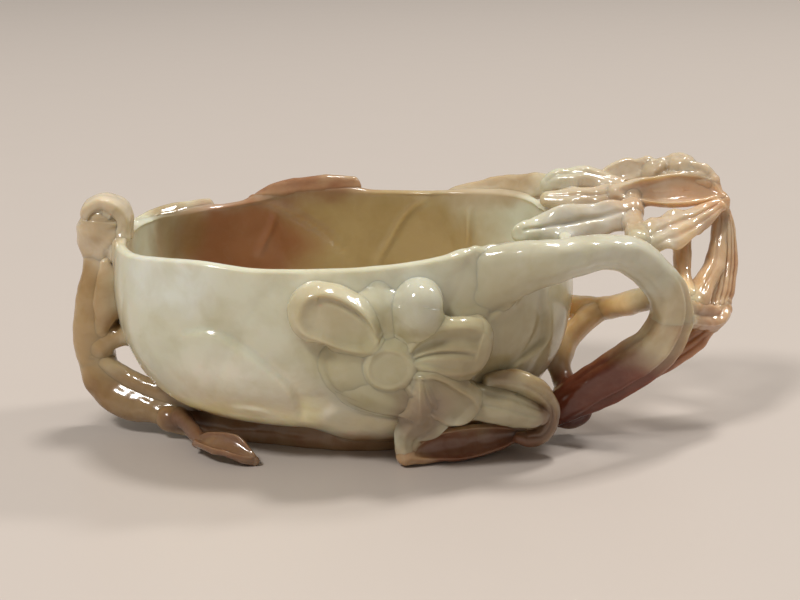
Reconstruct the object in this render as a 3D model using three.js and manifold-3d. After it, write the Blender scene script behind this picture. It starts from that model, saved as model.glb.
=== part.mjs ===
// A carved jade libation cup: an oval bowl shaped like an open flower, held in an openwork of branches,
// with a blossom in relief on its front, a bud at its left end and a branch handle with leaves at its
// right. The real cup is cut from one pebble of jade, so each mesh here is one carved member of it, and
// members that grow out of each other are parted by a hairline gap. Millimetres, +Z up, +X towards the
// handle, the blossom faces -Y. The origin is under the middle of the cup.

import * as THREE from "three";
import { mergeVertices } from "three/addons/utils/BufferGeometryUtils.js";
import Module from "manifold-3d";

// The bowl
const bowlLength = 113;
const bowlWidth = 86;
const rimHeight = 50.2;
const bowlClearance = 2.6;
const wallAtRim = 2.6;
const wallAtFoot = 5;
const petalRelief = 1.2;
const lipThickness = 3.4;

// The branch handle, the limbs behind it and the leaves on it, at the right end
const handleReach = 24.5;
const handleThickness = 10.4;
const handleDepth = 8.2;
const limbThickness = 5.6;
const twigThickness = 4.8;
const knotThickness = 5.6;
const leafReach = 41;
const leafWidth = 6;
const leafThickness = 2.8;
const lowerLeafWidth = 5.4;
const curledLeafThickness = 4;

// The cluster of leaves and buds that stands above the rim
const clusterHeight = 16;
const clusterLeafThickness = 4.4;
const clusterBudThickness = 7.2;

// The bud and stem, at the left end
const stemReach = 12;
const stemThickness = 10;
const strandThickness = 4.6;
const stemBudThickness = 5.2;
const budDiameter = 13.6;
const budCapThickness = 5.6;

// The blossom on the front wall
const blossomSpan = 46;
const blossomCentreDiameter = 11.4;
const blossomProud = 4.4;
const petalThickness = 3.6;

// The stem, sepal and leaves below the blossom, and the branch under the bowl
const frontStemThickness = 9;
const sepalThickness = 5;
const footLeafThickness = 3.6;
const footLeafWidth = 11;
const footEdgeThickness = 4;
const baseBranchThickness = 8.4;

// The gap that parts two members where one grows out of the other
const partingGap = 0.3;

// Shares and counts that set the bowl's form. Rim lifts are millimetres over the rim's height, every 45
// degrees, and petal edges are the turns at which the petals of the wall meet at the rim.
const planSquareness = 2.5;
const footShare = 0.5;
const rimDraw = 0.02;
const rimLifts = [0.4, 1.8, 2.2, -1.4, -2.8, -0.2, -1.2, 1.4];
const petalEdgeAngles = [20, 70, 112, 160, 210, 260, 298, 334];
const petalSlantAngle = 30;
const roundSteps = 56;
const outerRises = [0, 0.04, 0.1, 0.19, 0.31, 0.46, 0.62, 0.78, 0.92, 1];
const innerRises = [1, 0.86, 0.68, 0.5, 0.34, 0.2, 0.09];

// Where the blossom sits on the front wall: a share of the bowl's half length, and of its rim height
const blossomAlong = 0.196;
const blossomUp = 0.557;

const halfLength = bowlLength / 2;
const halfWidth = bowlWidth / 2;
const towardsFront = new THREE.Vector3(0, -1, 0);
const upAndFront = new THREE.Vector3(0, -0.6, 0.8);
const straightUp = new THREE.Vector3(0, 0, 1);

const wasm = await Module();
wasm.setup();

// Closes a row of equal rings into one solid, from the point before the first ring to the one after the
// last.
function loft(rings, first, last) {
  const count = rings[0].length;
  const points = [first, ...rings.flat(), last];
  const end = points.length - 1;
  const faces = [];
  for (let i = 0; i < count; i++) {
    const next = (i + 1) % count;
    faces.push(0, 1 + next, 1 + i);
    faces.push(end, end - count + i, end - count + next);
    for (let r = 0; r + 1 < rings.length; r++) {
      const low = 1 + r * count;
      const high = low + count;
      faces.push(low + i, low + next, high + next, low + i, high + next, high + i);
    }
  }
  const geometry = new THREE.BufferGeometry().setFromPoints(points);
  geometry.setIndex(faces);
  return geometry;
}

// A geometry as a manifold solid, with its faces outwards.
function solidOf(geometry) {
  const bare = new THREE.BufferGeometry();
  bare.setAttribute("position", geometry.getAttribute("position"));
  bare.setIndex(geometry.index);
  const merged = mergeVertices(bare, 1e-4);
  const vertProperties = merged.attributes.position.array;
  const triVerts = new Uint32Array(merged.index.array);
  const made = new wasm.Manifold(new wasm.Mesh({ numProp: 3, vertProperties, triVerts }));
  if (made.volume() > 0) return made;
  for (let i = 0; i < triVerts.length; i += 3) {
    [triVerts[i + 1], triVerts[i + 2]] = [triVerts[i + 2], triVerts[i + 1]];
  }
  return new wasm.Manifold(new wasm.Mesh({ numProp: 3, vertProperties, triVerts }));
}

// A manifold solid as a geometry with flat facets.
function geometryOf(solid) {
  const mesh = solid.getMesh();
  const geometry = new THREE.BufferGeometry();
  geometry.setAttribute("position", new THREE.BufferAttribute(mesh.vertProperties, mesh.numProp));
  geometry.setIndex(new THREE.BufferAttribute(mesh.triVerts, 1));
  const flat = geometry.toNonIndexed();
  flat.computeVertexNormals();
  return flat;
}

// A value along a list of values, smoothly, at a share from 0 to 1.
function between(values, share, closed = false) {
  const line = new THREE.CatmullRomCurve3(values.map((value, i) => new THREE.Vector3(value, i, 0)), closed);
  return line.getPoint(share).x;
}

// The bowl's form: its plan is a squared oval, and its wall climbs steeply from a flat foot.
function plan(turn) {
  const angle = THREE.MathUtils.degToRad(turn);
  const square = (value) => Math.sign(value) * Math.abs(value) ** (2 / planSquareness);
  return [square(Math.cos(angle)), square(Math.sin(angle))];
}

function spread(rise) {
  const climb = (1 - (1 - Math.min(rise, 1)) ** 3) ** 0.64;
  const draw = rimDraw * Math.max(0, (rise - 0.5) / 0.5) ** 2;
  return footShare + (1 - footShare) * climb - draw;
}

function rimAt(turn) {
  const share = (turn / 360 + 1) % 1;
  return rimHeight + between(rimLifts, share, true);
}

// How far the overlapping petals of the wall stand out, between 0 where they meet and 1 on a petal.
function petalSwell(turn, rise) {
  const slanted = (turn + petalSlantAngle * (1 - rise)) % 360;
  const ends = [petalEdgeAngles.at(-1) - 360, ...petalEdgeAngles, petalEdgeAngles[0] + 360];
  const next = ends.findIndex((edge) => edge > slanted);
  const along = (slanted - ends[next - 1]) / (ends[next] - ends[next - 1]);
  return Math.sin(Math.PI * along ** 1.5) ** 0.5;
}

// A point of the bowl's outer wall, at a turn in degrees and a share of the wall's height.
function wall(turn, rise, inset = 0) {
  const [across, deep] = plan(turn);
  const swell = petalRelief * (petalSwell(turn, rise) - 1) * Math.min(1, rise * 4) - inset;
  const share = spread(rise);
  return new THREE.Vector3(
    across * (halfLength * share + swell),
    deep * (halfWidth * share + swell),
    bowlClearance + rise * (rimAt(turn) - bowlClearance),
  );
}

// The bowl: out from the foot, up the wall, over the rim and down the inside.
function bowl(grow) {
  const turns = Array.from({ length: roundSteps }, (_, i) => (i * 360) / roundSteps);
  const outer = outerRises.map((rise) => turns.map((turn) => wall(turn, rise, -grow)));
  outer[0].forEach((point) => (point.z -= grow));
  const lip = turns.map((turn) => {
    const point = wall(turn, 1, wallAtRim / 2);
    point.z += wallAtRim / 4 + grow;
    return point;
  });
  const floor = bowlClearance + wallAtFoot;
  const inner = innerRises.map((rise) =>
    turns.map((turn) => {
      const thickness = wallAtRim + (wallAtFoot - wallAtRim) * (1 - rise);
      const point = wall(turn, rise, thickness + grow);
      const share = 1 - (1 - rise) ** 2;
      point.z = Math.max(point.z, floor + grow) * share + (floor + grow) * (1 - share);
      return point;
    }),
  );
  const under = new THREE.Vector3(0, 0, bowlClearance - grow);
  return loft([...outer, lip, ...inner], under, new THREE.Vector3(0, 0, floor + grow));
}

// A point by shares. Along runs from -1 to 1 over the bowl's length, and on to 2 over the reach past its
// end. Across runs from -1 to 1 over its width. Up runs from 0 at the table to 1 at the rim, and on to 2
// at the top of the cluster.
function at([along, across, up], reach) {
  const past = Math.max(0, Math.abs(along) - 1) * reach;
  const x = Math.sign(along) * (Math.min(1, Math.abs(along)) * halfLength + past);
  const z = Math.min(1, up) * rimHeight + Math.max(0, up - 1) * clusterHeight;
  return new THREE.Vector3(x, across * halfWidth, z);
}

function route(shares, reach = handleReach) {
  return shares.map((share) => at(share, reach));
}

// A point beside the front wall, so many millimetres proud of it, at a place along and up from the table.
function besideFront(x, z, proud) {
  const onWall = (across, height) => {
    const rise = THREE.MathUtils.clamp((height - bowlClearance) / (rimHeight - bowlClearance), 0, 1);
    const share = spread(rise);
    const part = Math.min(0.98, Math.abs(across) / (halfLength * share));
    const front = -halfWidth * share * (1 - part ** planSquareness) ** (1 / planSquareness);
    return new THREE.Vector3(across, front, height);
  };
  const step = 1;
  const alongWall = onWall(x + step, z).sub(onWall(x - step, z));
  const upWall = onWall(x, z + step).sub(onWall(x, z - step));
  return onWall(x, z).addScaledVector(alongWall.cross(upWall).normalize(), proud);
}

// The frame of a line at a share of its length: its point, its direction, and the way its face looks.
function frameAt(curve, share, face) {
  const point = curve.getPoint(share);
  const along = curve.getTangent(share);
  const out = face.clone().addScaledVector(along, -face.dot(along)).normalize();
  return { point, along, out, side: new THREE.Vector3().crossVectors(along, out) };
}

// A branch or bud along points. Radii are its half widths there, seen from its face, and depth its
// thickness as a share of its width.
function limb(
  grow,
  points,
  radii,
  { face = towardsFront, depth = 1, sides = 8, steps = points.length * 2 - 1 } = {},
) {
  const curve = new THREE.CatmullRomCurve3(points);
  const ring = (share, way, scale) => {
    const frame = frameAt(curve, share, face);
    const radius = between(radii, share);
    return Array.from({ length: sides }, (_, i) => {
      const angle = ((i + 0.5) * 2 * Math.PI) / sides;
      return frame.point
        .clone()
        .addScaledVector(frame.along, way * (radius * 0.55 + grow))
        .addScaledVector(frame.out, Math.cos(angle) * (scale * radius * depth + grow))
        .addScaledVector(frame.side, Math.sin(angle) * (scale * radius + grow));
    });
  };
  const tip = (share, way) => {
    const frame = frameAt(curve, share, face);
    return frame.point.addScaledVector(frame.along, way * (between(radii, share) * 0.8 + grow));
  };
  const rings = [ring(0, -1, 0.66)];
  for (let i = 0; i <= steps; i++) rings.push(ring(i / steps, 0, 1));
  rings.push(ring(1, 1, 0.66));
  return loft(rings, tip(0, -1), tip(1, 1));
}

// A leaf or petal along a midrib. Halves are its half widths there, and cup bends its edges towards its
// face.
function blade(
  grow,
  points,
  halves,
  { face = towardsFront, thickness, cup = 0, sides = 6, steps = points.length + 2 },
) {
  const curve = new THREE.CatmullRomCurve3(points);
  const shares = Array.from({ length: sides }, (_, i) => (2 * i) / (sides - 1) - 1);
  const section = (share, way, scale) => {
    const { point, along, out, side } = frameAt(curve, share, face);
    const half = between(halves, share);
    const edge = (v, up) =>
      point
        .clone()
        .addScaledVector(along, way * (half * 0.4 + grow))
        .addScaledVector(side, v * (half * scale + grow))
        .addScaledVector(out, cup * half * v * v * scale)
        .addScaledVector(out, up * ((thickness / 2) * (1 - 0.55 * v * v) + grow));
    return [...shares.map((v) => edge(v, 1)), ...shares.map((v) => edge(-v, -1))];
  };
  const tip = (share, way) => {
    const frame = frameAt(curve, share, face);
    return frame.point.addScaledVector(frame.along, way * (between(halves, share) * 0.6 + grow));
  };
  const rings = [section(0, -1, 0.66)];
  for (let i = 0; i <= steps; i++) rings.push(section(i / steps, 0, 1));
  rings.push(section(1, 1, 0.66));
  return loft(rings, tip(0, -1), tip(1, 1));
}

// A petal of the blossom: its midrib and half widths as shares of the blossom's span, right of and above
// its centre, and how proud of the wall each point lies as a share of the blossom's.
function petal(grow, midrib, halves, options = {}) {
  const x = blossomAlong * halfLength;
  const z = blossomUp * rimHeight;
  const points = midrib.map(([right, up, lift]) =>
    besideFront(x + right * blossomSpan, z + up * blossomSpan, lift * blossomProud),
  );
  const face = besideFront(x, z, 1).sub(besideFront(x, z, 0));
  const wide = halves.map((half) => half * blossomSpan);
  return blade(grow, points, wide, { face, thickness: petalThickness, ...options });
}

const scaled = (size, shares) => shares.map((share) => (size / 2) * share);

// Points where one member takes over from the other
const handleTurn = [1.88, -0.4, 0.67];
const handleFoot = [0.92, -0.28, 0.14];
const stemJoint = [-1.42, -0.07, 0.33];
const stemFoot = [-0.76, -0.28, 0.12];

// Every member, in the order it was freed from the stone: each is cut back from those before it.
const members = {
  bowl: { group: "bowl", colour: "white", make: bowl },

  blossom_centre: {
    group: "blossom",
    colour: "white",
    make: (grow) => {
      const x = blossomAlong * halfLength;
      const z = blossomUp * rimHeight;
      const points = [besideFront(x, z, -1), besideFront(x, z, blossomProud)];
      const radii = scaled(blossomCentreDiameter, [1, 0.86]);
      return limb(grow, points, radii, { face: straightUp, sides: 12, steps: 2 });
    },
  },
  blossom_petal_top: {
    group: "blossom",
    colour: "white",
    make: (grow) => {
      const midrib = [[0.12, 0.202, 0.7], [0.135, 0.282, 1.2], [0.15, 0.372, 1.35], [0.165, 0.442, 0.9]];
      const halves = [0.045, 0.09, 0.11, 0.08];
      return petal(grow, midrib, halves, { cup: -0.35, thickness: petalThickness * 1.4 });
    },
  },
  blossom_petal_upper_left: {
    group: "blossom",
    colour: "honey",
    make: (grow) => {
      const midrib = [[-0.06, 0.132, 0.6], [-0.18, 0.222, 1], [-0.33, 0.3, 1.2], [-0.44, 0.3, 0.9]];
      return petal(grow, midrib, [0.06, 0.125, 0.15, 0.11], { cup: 0.3 });
    },
  },
  blossom_petal_right: {
    group: "blossom",
    colour: "white",
    make: (grow) => {
      const midrib = [[0.13, 0.1, 0.35], [0.25, 0.122, 0.6], [0.35, 0.132, 0.75], [0.43, 0.132, 0.5]];
      return petal(grow, midrib, [0.04, 0.09, 0.135, 0.12], { cup: 0.25 });
    },
  },
  blossom_petal_lower_right: {
    group: "blossom",
    colour: "white",
    make: (grow) => {
      const midrib = [[0.13, -0.038, 0.6], [0.22, -0.078, 0.9], [0.31, -0.148, 0.95], [0.39, -0.208, 0.7]];
      return petal(grow, midrib, [0.04, 0.075, 0.11, 0.08], { cup: 0.2 });
    },
  },
  blossom_petal_upper: {
    group: "blossom",
    colour: "white",
    make: (grow) => {
      const midrib = [[-0.02, 0.16, 0.5], [-0.03, 0.24, 0.8], [-0.02, 0.32, 0.9], [0.01, 0.38, 0.7]];
      return petal(grow, midrib, [0.04, 0.07, 0.08, 0.05], { cup: 0.1 });
    },
  },
  blossom_petal_left: {
    group: "blossom",
    colour: "white",
    make: (grow) => {
      const midrib = [[-0.08, 0.022, 0.6], [-0.14, 0.002, 0.8], [-0.2, -0.008, 0.8], [-0.26, -0.008, 0.6]];
      return petal(grow, midrib, [0.07, 0.11, 0.12, 0.09], { cup: 0.1 });
    },
  },
  blossom_petal_lower: {
    group: "blossom",
    colour: "white",
    make: (grow) => {
      const midrib = [[0, -0.028, 0.6], [-0.02, -0.088, 0.8], [-0.04, -0.138, 0.8], [-0.05, -0.178, 0.6]];
      return petal(grow, midrib, [0.08, 0.16, 0.18, 0.13], { cup: 0.05 });
    },
  },

  handle_branch_upper: {
    group: "handle",
    colour: "white",
    make: (grow) => {
      const line = [
        [0.52, -1, 0.97], [0.66, -0.97, 0.99], [0.8, -0.9, 1.01], [0.95, -0.79, 1.02],
        [1.18, -0.7, 1.02], [1.43, -0.6, 0.97], [1.67, -0.51, 0.88], [1.83, -0.44, 0.77],
        handleTurn,
      ];
      const radii = scaled(handleThickness, [0.5, 0.8, 0.9, 0.86, 0.81, 0.94, 1.04, 1, 0.98]);
      return limb(grow, route(line), radii, { depth: handleDepth / handleThickness, sides: 10, steps: 14 });
    },
  },
  handle_branch_lower: {
    group: "handle",
    colour: "russet",
    make: (grow) => {
      const line = [
        [1.86, -0.38, 0.6], [1.76, -0.36, 0.5], [1.53, -0.34, 0.4],
        [1.25, -0.31, 0.29], [0.99, -0.3, 0.2], handleFoot,
      ];
      const radii = scaled(handleThickness, [0.98, 1.04, 1.06, 1.02, 0.94, 0.8]);
      return limb(grow, route(line), radii, { depth: handleDepth / handleThickness, sides: 10, steps: 10 });
    },
  },
  rear_limb_upper: {
    group: "handle",
    colour: "honey",
    make: (grow) => {
      const line = [
        [0.95, 0.33, 0.55], [1.18, 0.21, 0.54], [1.43, 0.07, 0.58],
        [1.66, -0.12, 0.66], [1.78, -0.26, 0.71],
      ];
      return limb(grow, route(line), scaled(limbThickness, [1, 1, 1, 1, 0.96]));
    },
  },
  rear_limb_lower: {
    group: "handle",
    colour: "honey",
    make: (grow) => {
      const line = [
        [1.24, 0.14, 0.54], [1.05, 0.07, 0.46], [0.96, -0.02, 0.37],
        [0.95, -0.12, 0.29], [0.96, -0.19, 0.23],
      ];
      return limb(grow, route(line), scaled(limbThickness, [1, 1.04, 1.04, 1, 1]));
    },
  },

  right_knot: {
    group: "handle",
    colour: "russet",
    make: (grow) => {
      const atHandle = route([[2.088, -0.33, 0.67], [2.238, -0.23, 0.6]]);
      const atLeaf = route([[1.85, -0.14, 0.57], [1.93, -0.07, 0.59]], leafReach);
      return limb(grow, [...atHandle, ...atLeaf], scaled(knotThickness, [0.8, 1, 1, 0.8]));
    },
  },
  right_limb: {
    group: "handle",
    colour: "honey",
    make: (grow) => {
      const line = [
        [1.92, 0.21, 1.23], [1.915, 0.14, 0.97], [1.88, 0.05, 0.83],
        [1.79, -0.09, 0.73], [1.7, -0.21, 0.67],
      ];
      return limb(grow, route(line, leafReach), scaled(twigThickness, [0.72, 0.58, 0.7, 0.95, 1]));
    },
  },
  right_leaf: {
    group: "handle",
    colour: "russet",
    make: (grow) => {
      const line = [
        [1.95, 0.16, 1], [1.95, 0.12, 0.87], [1.91, 0.02, 0.73],
        [1.86, -0.07, 0.63], [1.81, -0.14, 0.55],
      ];
      const halves = scaled(leafWidth, [0.4, 0.9, 1, 0.9, 0.4]);
      return blade(grow, route(line, leafReach), halves, { thickness: leafThickness, cup: 0.3 });
    },
  },
  right_twig: {
    group: "handle",
    colour: "honey",
    make: (grow) => {
      const line = [[1.67, 0.14, 1.02], [1.67, 0.08, 0.87], [1.65, -0.05, 0.79], [1.65, -0.21, 0.71]];
      return limb(grow, route(line, leafReach), scaled(twigThickness, [1, 1, 0.92, 0.84]));
    },
  },
  lower_right_leaf: {
    group: "handle",
    colour: "russet",
    make: (grow) => {
      const line = [
        [1.8, -0.12, 0.49], [1.7, -0.14, 0.45], [1.55, -0.16, 0.39],
        [1.4, -0.17, 0.31], [1.25, -0.18, 0.23], [1.13, -0.19, 0.19],
      ];
      const halves = scaled(lowerLeafWidth, [0.4, 0.9, 1, 1, 0.8, 0.4]);
      return blade(grow, route(line, leafReach), halves, { thickness: leafThickness * 1.3, cup: 0.2 });
    },
  },
  small_curled_leaf: {
    group: "handle",
    colour: "russet",
    make: (grow) => {
      const line = [[0.94, -0.26, 0.08], [1, -0.23, 0.08], [1.1, -0.21, 0.11], [1.13, -0.21, 0.16]];
      return limb(grow, route(line), scaled(curledLeafThickness, [0.8, 1, 1, 0.8]));
    },
  },

  shell_leaf: {
    group: "cluster",
    colour: "honey",
    make: (grow) => {
      const line = [
        [1.29, 0.2, 1.4], [1.48, 0.19, 1.45], [1.67, 0.21, 1.48],
        [1.83, 0.24, 1.42], [1.9, 0.22, 1.32],
      ];
      const halves = scaled(clusterLeafThickness, [0.8, 1.3, 1.5, 1.2, 0.6]);
      const options = { face: upAndFront, thickness: leafThickness, cup: 0.4 };
      return blade(grow, route(line, leafReach), halves, options);
    },
  },
  hanging_leaf: {
    group: "cluster",
    colour: "honey",
    make: (grow) => {
      const line = [[1.87, 0.1, 1.17], [1.73, 0.02, 1.12], [1.58, -0.1, 1.06], [1.44, -0.24, 1]];
      const halves = scaled(clusterLeafThickness, [0.8, 1.25, 1.4, 1]);
      return blade(grow, route(line, leafReach), halves, { thickness: leafThickness, cup: -0.2 });
    },
  },
  middle_column: {
    group: "cluster",
    colour: "honey",
    make: (grow) => {
      const line = [[1.36, 0.2, 1.28], [1.37, 0.1, 1.08], [1.38, -0.1, 0.99], [1.38, -0.3, 0.96]];
      return limb(grow, route(line, leafReach), scaled(twigThickness, [1, 0.9, 0.9, 0.9]));
    },
  },
  top_bud_large: {
    group: "cluster",
    colour: "white",
    make: (grow) => {
      const line = [[1.55, 0.37, 1.74], [1.64, 0.35, 1.76], [1.72, 0.31, 1.76]];
      return limb(grow, route(line, leafReach), scaled(clusterBudThickness, [0.8, 1, 0.8]));
    },
  },
  top_bud_small: {
    group: "cluster",
    colour: "white",
    make: (grow) => {
      const line = [[1.72, 0.3, 1.76], [1.78, 0.28, 1.74]];
      return limb(grow, route(line, leafReach), scaled(clusterBudThickness, [0.72, 0.7]));
    },
  },
  upper_leaf: {
    group: "cluster",
    colour: "white",
    make: (grow) => {
      const line = [[1.21, 0.45, 1.5], [1.34, 0.46, 1.6], [1.45, 0.43, 1.7], [1.49, 0.41, 1.8]];
      const radii = scaled(clusterLeafThickness, [0.8, 1, 0.9, 0.5]);
      return limb(grow, route(line, leafReach), radii, { depth: 1.3 });
    },
  },
  rim_leaf_over: {
    group: "cluster",
    colour: "white",
    make: (grow) => {
      const line = [[0.91, 0.42, 1.46], [0.99, 0.4, 1.55], [1.13, 0.36, 1.57], [1.27, 0.32, 1.5]];
      const radii = scaled(clusterLeafThickness, [0.6, 0.95, 1, 0.8]);
      return limb(grow, route(line, leafReach), radii, { depth: 1.2 });
    },
  },
  rim_leaf_under: {
    group: "cluster",
    colour: "honey",
    make: (grow) => {
      const line = [[0.9, 0.3, 1.28], [0.99, 0.27, 1.27], [1.15, 0.23, 1.3], [1.3, 0.2, 1.36]];
      const radii = scaled(clusterLeafThickness, [0.6, 0.95, 1.05, 0.9]);
      return limb(grow, route(line, leafReach), radii, { depth: 1.2 });
    },
  },
  rim_leaf_back: {
    group: "cluster",
    colour: "honey",
    make: (grow) => {
      const line = [[0.5, 0.95, 1.08], [0.68, 0.86, 1.2], [0.84, 0.73, 1.32], [0.97, 0.58, 1.4]];
      const radii = scaled(clusterLeafThickness, [0.5, 0.9, 1.1, 1.1]);
      return limb(grow, route(line, leafReach), radii, { depth: 1 });
    },
  },
  rim_leaf_inner: {
    group: "cluster",
    colour: "white",
    make: (grow) => {
      const line = [
        [0.76, -0.05, 1.01], [0.87, 0, 1.12], [1, 0.05, 1.19],
        [1.19, 0.08, 1.24], [1.35, 0.1, 1.26],
      ];
      const radii = scaled(clusterLeafThickness, [0.5, 0.9, 1, 1, 0.9]);
      return limb(grow, route(line, leafReach), radii, { depth: 1.4 });
    },
  },

  rear_lip: {
    group: "bowl",
    colour: "russet",
    make: (grow) => {
      const line = [
        [-0.44, 0.92, 1], [-0.35, 0.95, 1.12], [-0.24, 0.98, 1.2],
        [-0.1, 1, 1.22], [0.02, 1, 1.24],
      ];
      return limb(grow, route(line), scaled(lipThickness, [0.6, 1, 1.1, 1.1, 1]));
    },
  },
  rear_left_lip: {
    group: "bowl",
    colour: "honey",
    make: (grow) => {
      const line = [[-0.95, 0.3, 0.97], [-0.89, 0.5, 0.97], [-0.79, 0.69, 0.98], [-0.66, 0.84, 0.99]];
      return limb(grow, route(line), scaled(lipThickness, [0.8, 1, 1, 0.6]));
    },
  },

  left_bud: {
    group: "stem",
    colour: "honey",
    make: (grow) => {
      const line = [[-1.3, -0.02, 0.86], [-1.23, -0.02, 0.95], [-1.17, -0.02, 1.1], [-1.15, -0.02, 1.26]];
      const radii = scaled(budDiameter, [0.56, 0.85, 0.98, 0.7]);
      return limb(grow, route(line, stemReach), radii, { sides: 10 });
    },
  },
  left_bud_cap: {
    group: "stem",
    colour: "white",
    make: (grow) => {
      const line = [
        [-1.52, -0.08, 1.14], [-1.4, -0.08, 1.34], [-1.12, -0.06, 1.4], [-0.97, -0.05, 1.28],
        [-0.94, -0.07, 1.05], [-0.95, -0.09, 0.97], [-0.98, -0.12, 0.9],
      ];
      const radii = scaled(budCapThickness, [0.5, 0.9, 1, 1, 0.8, 0.7, 0.6]);
      return limb(grow, route(line, stemReach), radii, { depth: 1.4 });
    },
  },
  left_stem_upper: {
    group: "stem",
    colour: "honey",
    make: (grow) => {
      const line = [
        [-1.34, -0.05, 0.84], [-1.36, -0.07, 0.73], [-1.45, -0.07, 0.6],
        [-1.47, -0.07, 0.47], stemJoint,
      ];
      return limb(grow, route(line, stemReach), scaled(stemThickness, [0.74, 0.86, 1, 0.98, 0.94]));
    },
  },
  left_stem_bud: {
    group: "stem",
    colour: "honey",
    make: (grow) => {
      const line = [[-1.21, -0.15, 0.84], [-1.16, -0.17, 0.73], [-1.18, -0.17, 0.62], [-1.28, -0.16, 0.52]];
      return limb(grow, route(line, stemReach), scaled(stemBudThickness, [0.4, 1, 1, 0.4]));
    },
  },
  left_bridge: {
    group: "stem",
    colour: "honey",
    make: (grow) => {
      const line = [[-1.3, -0.12, 0.42], [-1.07, -0.12, 0.46], [-0.94, -0.12, 0.49]];
      return limb(grow, route(line, stemReach), scaled(strandThickness, [1.2, 1.2, 1.2]));
    },
  },
  left_stem_lower: {
    group: "stem",
    colour: "honey",
    make: (grow) => {
      const line = [stemJoint, [-1.06, -0.12, 0.2], [-0.87, -0.21, 0.14], stemFoot];
      return limb(grow, route(line, stemReach), scaled(stemThickness, [0.78, 0.7, 0.66, 0.5]));
    },
  },
  left_stem_strand: {
    group: "stem",
    colour: "honey",
    make: (grow) => {
      const line = [[-1.22, -0.12, 0.34], [-0.95, -0.14, 0.27], [-0.82, -0.21, 0.22], [-0.68, -0.26, 0.15]];
      return limb(grow, route(line, stemReach), scaled(strandThickness, [0.9, 1, 1, 0.8]));
    },
  },
  left_foot_stalk: {
    group: "feet",
    colour: "russet",
    make: (grow) => {
      const line = [[-0.74, -0.3, 0.12], [-0.68, -0.44, 0.08], [-0.61, -0.58, 0.05]];
      return limb(grow, route(line), scaled(strandThickness, [1, 1, 0.8]));
    },
  },
  left_foot_leaf: {
    group: "feet",
    colour: "russet",
    make: (grow) => {
      const line = [
        [-0.6, -0.58, 0.05], [-0.54, -0.66, 0.08], [-0.47, -0.71, 0.07],
        [-0.41, -0.75, 0.04], [-0.36, -0.76, 0.02],
      ];
      const halves = scaled(footLeafWidth, [0.3, 0.5, 0.56, 0.42, 0.2]);
      const options = { face: upAndFront, thickness: footLeafThickness, cup: -0.2 };
      return blade(grow, route(line), halves, options);
    },
  },

  front_stem: {
    group: "feet",
    colour: "white",
    make: (grow) => {
      const line = [
        [0.49, -0.92, 0.36], [0.57, -0.85, 0.33], [0.68, -0.77, 0.29],
        [0.78, -0.7, 0.24], [0.82, -0.68, 0.22],
      ];
      return limb(grow, route(line), scaled(frontStemThickness, [0.9, 1, 0.9, 0.64, 0.44]));
    },
  },
  sepal: {
    group: "feet",
    colour: "russet",
    make: (grow) => {
      const line = [
        [0.62, -0.79, 0.43], [0.7, -0.76, 0.43], [0.78, -0.71, 0.39], [0.85, -0.66, 0.32],
        [0.88, -0.63, 0.24], [0.86, -0.6, 0.15], [0.8, -0.59, 0.09], [0.75, -0.6, 0.09],
      ];
      const radii = scaled(sepalThickness, [0.6, 0.9, 1, 0.9, 0.8, 0.9, 0.96, 0.6]);
      return limb(grow, route(line), radii, { depth: 1.3, steps: 14 });
    },
  },
  front_foot_leaf: {
    group: "feet",
    colour: "white",
    make: (grow) => {
      const line = [
        [0.32, -1.03, 0.46], [0.32, -0.98, 0.37], [0.34, -0.9, 0.25],
        [0.3, -0.8, 0.14], [0.28, -0.72, 0.04],
      ];
      const halves = scaled(footLeafWidth, [0.14, 0.56, 1.04, 0.7, 0.34]);
      return blade(grow, route(line), halves, { thickness: footLeafThickness, cup: -0.1 });
    },
  },
  front_foot_edge: {
    group: "feet",
    colour: "russet",
    make: (grow) => {
      const line = [
        [0.28, -0.76, 0.05], [0.37, -0.67, 0.03], [0.5, -0.63, 0.035],
        [0.63, -0.56, 0.05], [0.74, -0.47, 0.07],
      ];
      return limb(grow, route(line), scaled(footEdgeThickness, [1, 1, 1, 1, 0.8]));
    },
  },
  base_branch: {
    group: "feet",
    colour: "russet",
    make: (grow) => {
      const line = [
        stemFoot, [-0.42, -0.3, 0.05], [0, -0.5, 0.03],
        [0.3, -0.42, 0.04], [0.6, -0.34, 0.08], handleFoot,
      ];
      const radii = scaled(baseBranchThickness, [0.8, 1, 1, 1, 0.9, 0.8]);
      return limb(grow, route(line), radii, { depth: 1.2, face: straightUp });
    },
  },
  rear_foot_leaf: {
    group: "feet",
    colour: "russet",
    make: (grow) => {
      const line = [[-0.3, 0.56, 0.05], [-0.12, 0.62, 0.03], [0.08, 0.64, 0.03], [0.28, 0.58, 0.05]];
      const halves = scaled(footLeafWidth, [0.5, 0.9, 0.9, 0.4]);
      return blade(grow, route(line), halves, { face: straightUp, thickness: footLeafThickness, cup: 0.1 });
    },
  },
};

const colours = { white: "#cfcdb6", honey: "#a58c62", russet: "#6e4535" };

function largest(solid) {
  const bodies = solid.decompose();
  return bodies.reduce((best, body) => (body.volume() > best.volume() ? body : best));
}

function materialOf(name) {
  return new THREE.MeshStandardMaterial({ color: colours[name], roughness: 0.22, metalness: 0 });
}

// The table: nothing reaches below it.
const table = new THREE.BoxGeometry(4 * bowlLength, 4 * bowlWidth, rimHeight);
table.translate(0, 0, -rimHeight / 2);
const belowTable = solidOf(table);

const cup = new THREE.Group();
const groups = {};
const cutters = [belowTable];
for (const [name, { group, colour, make }] of Object.entries(members)) {
  const cut = cutters.reduce((solid, cutter) => solid.subtract(cutter), solidOf(make(0)));
  const mesh = new THREE.Mesh(geometryOf(largest(largest(cut).simplify(0.05))), materialOf(colour));
  mesh.name = name;
  groups[group] ??= new THREE.Group();
  groups[group].add(mesh);
  cutters.push(solidOf(make(partingGap)));
}
cup.add(...Object.values(groups));

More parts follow.
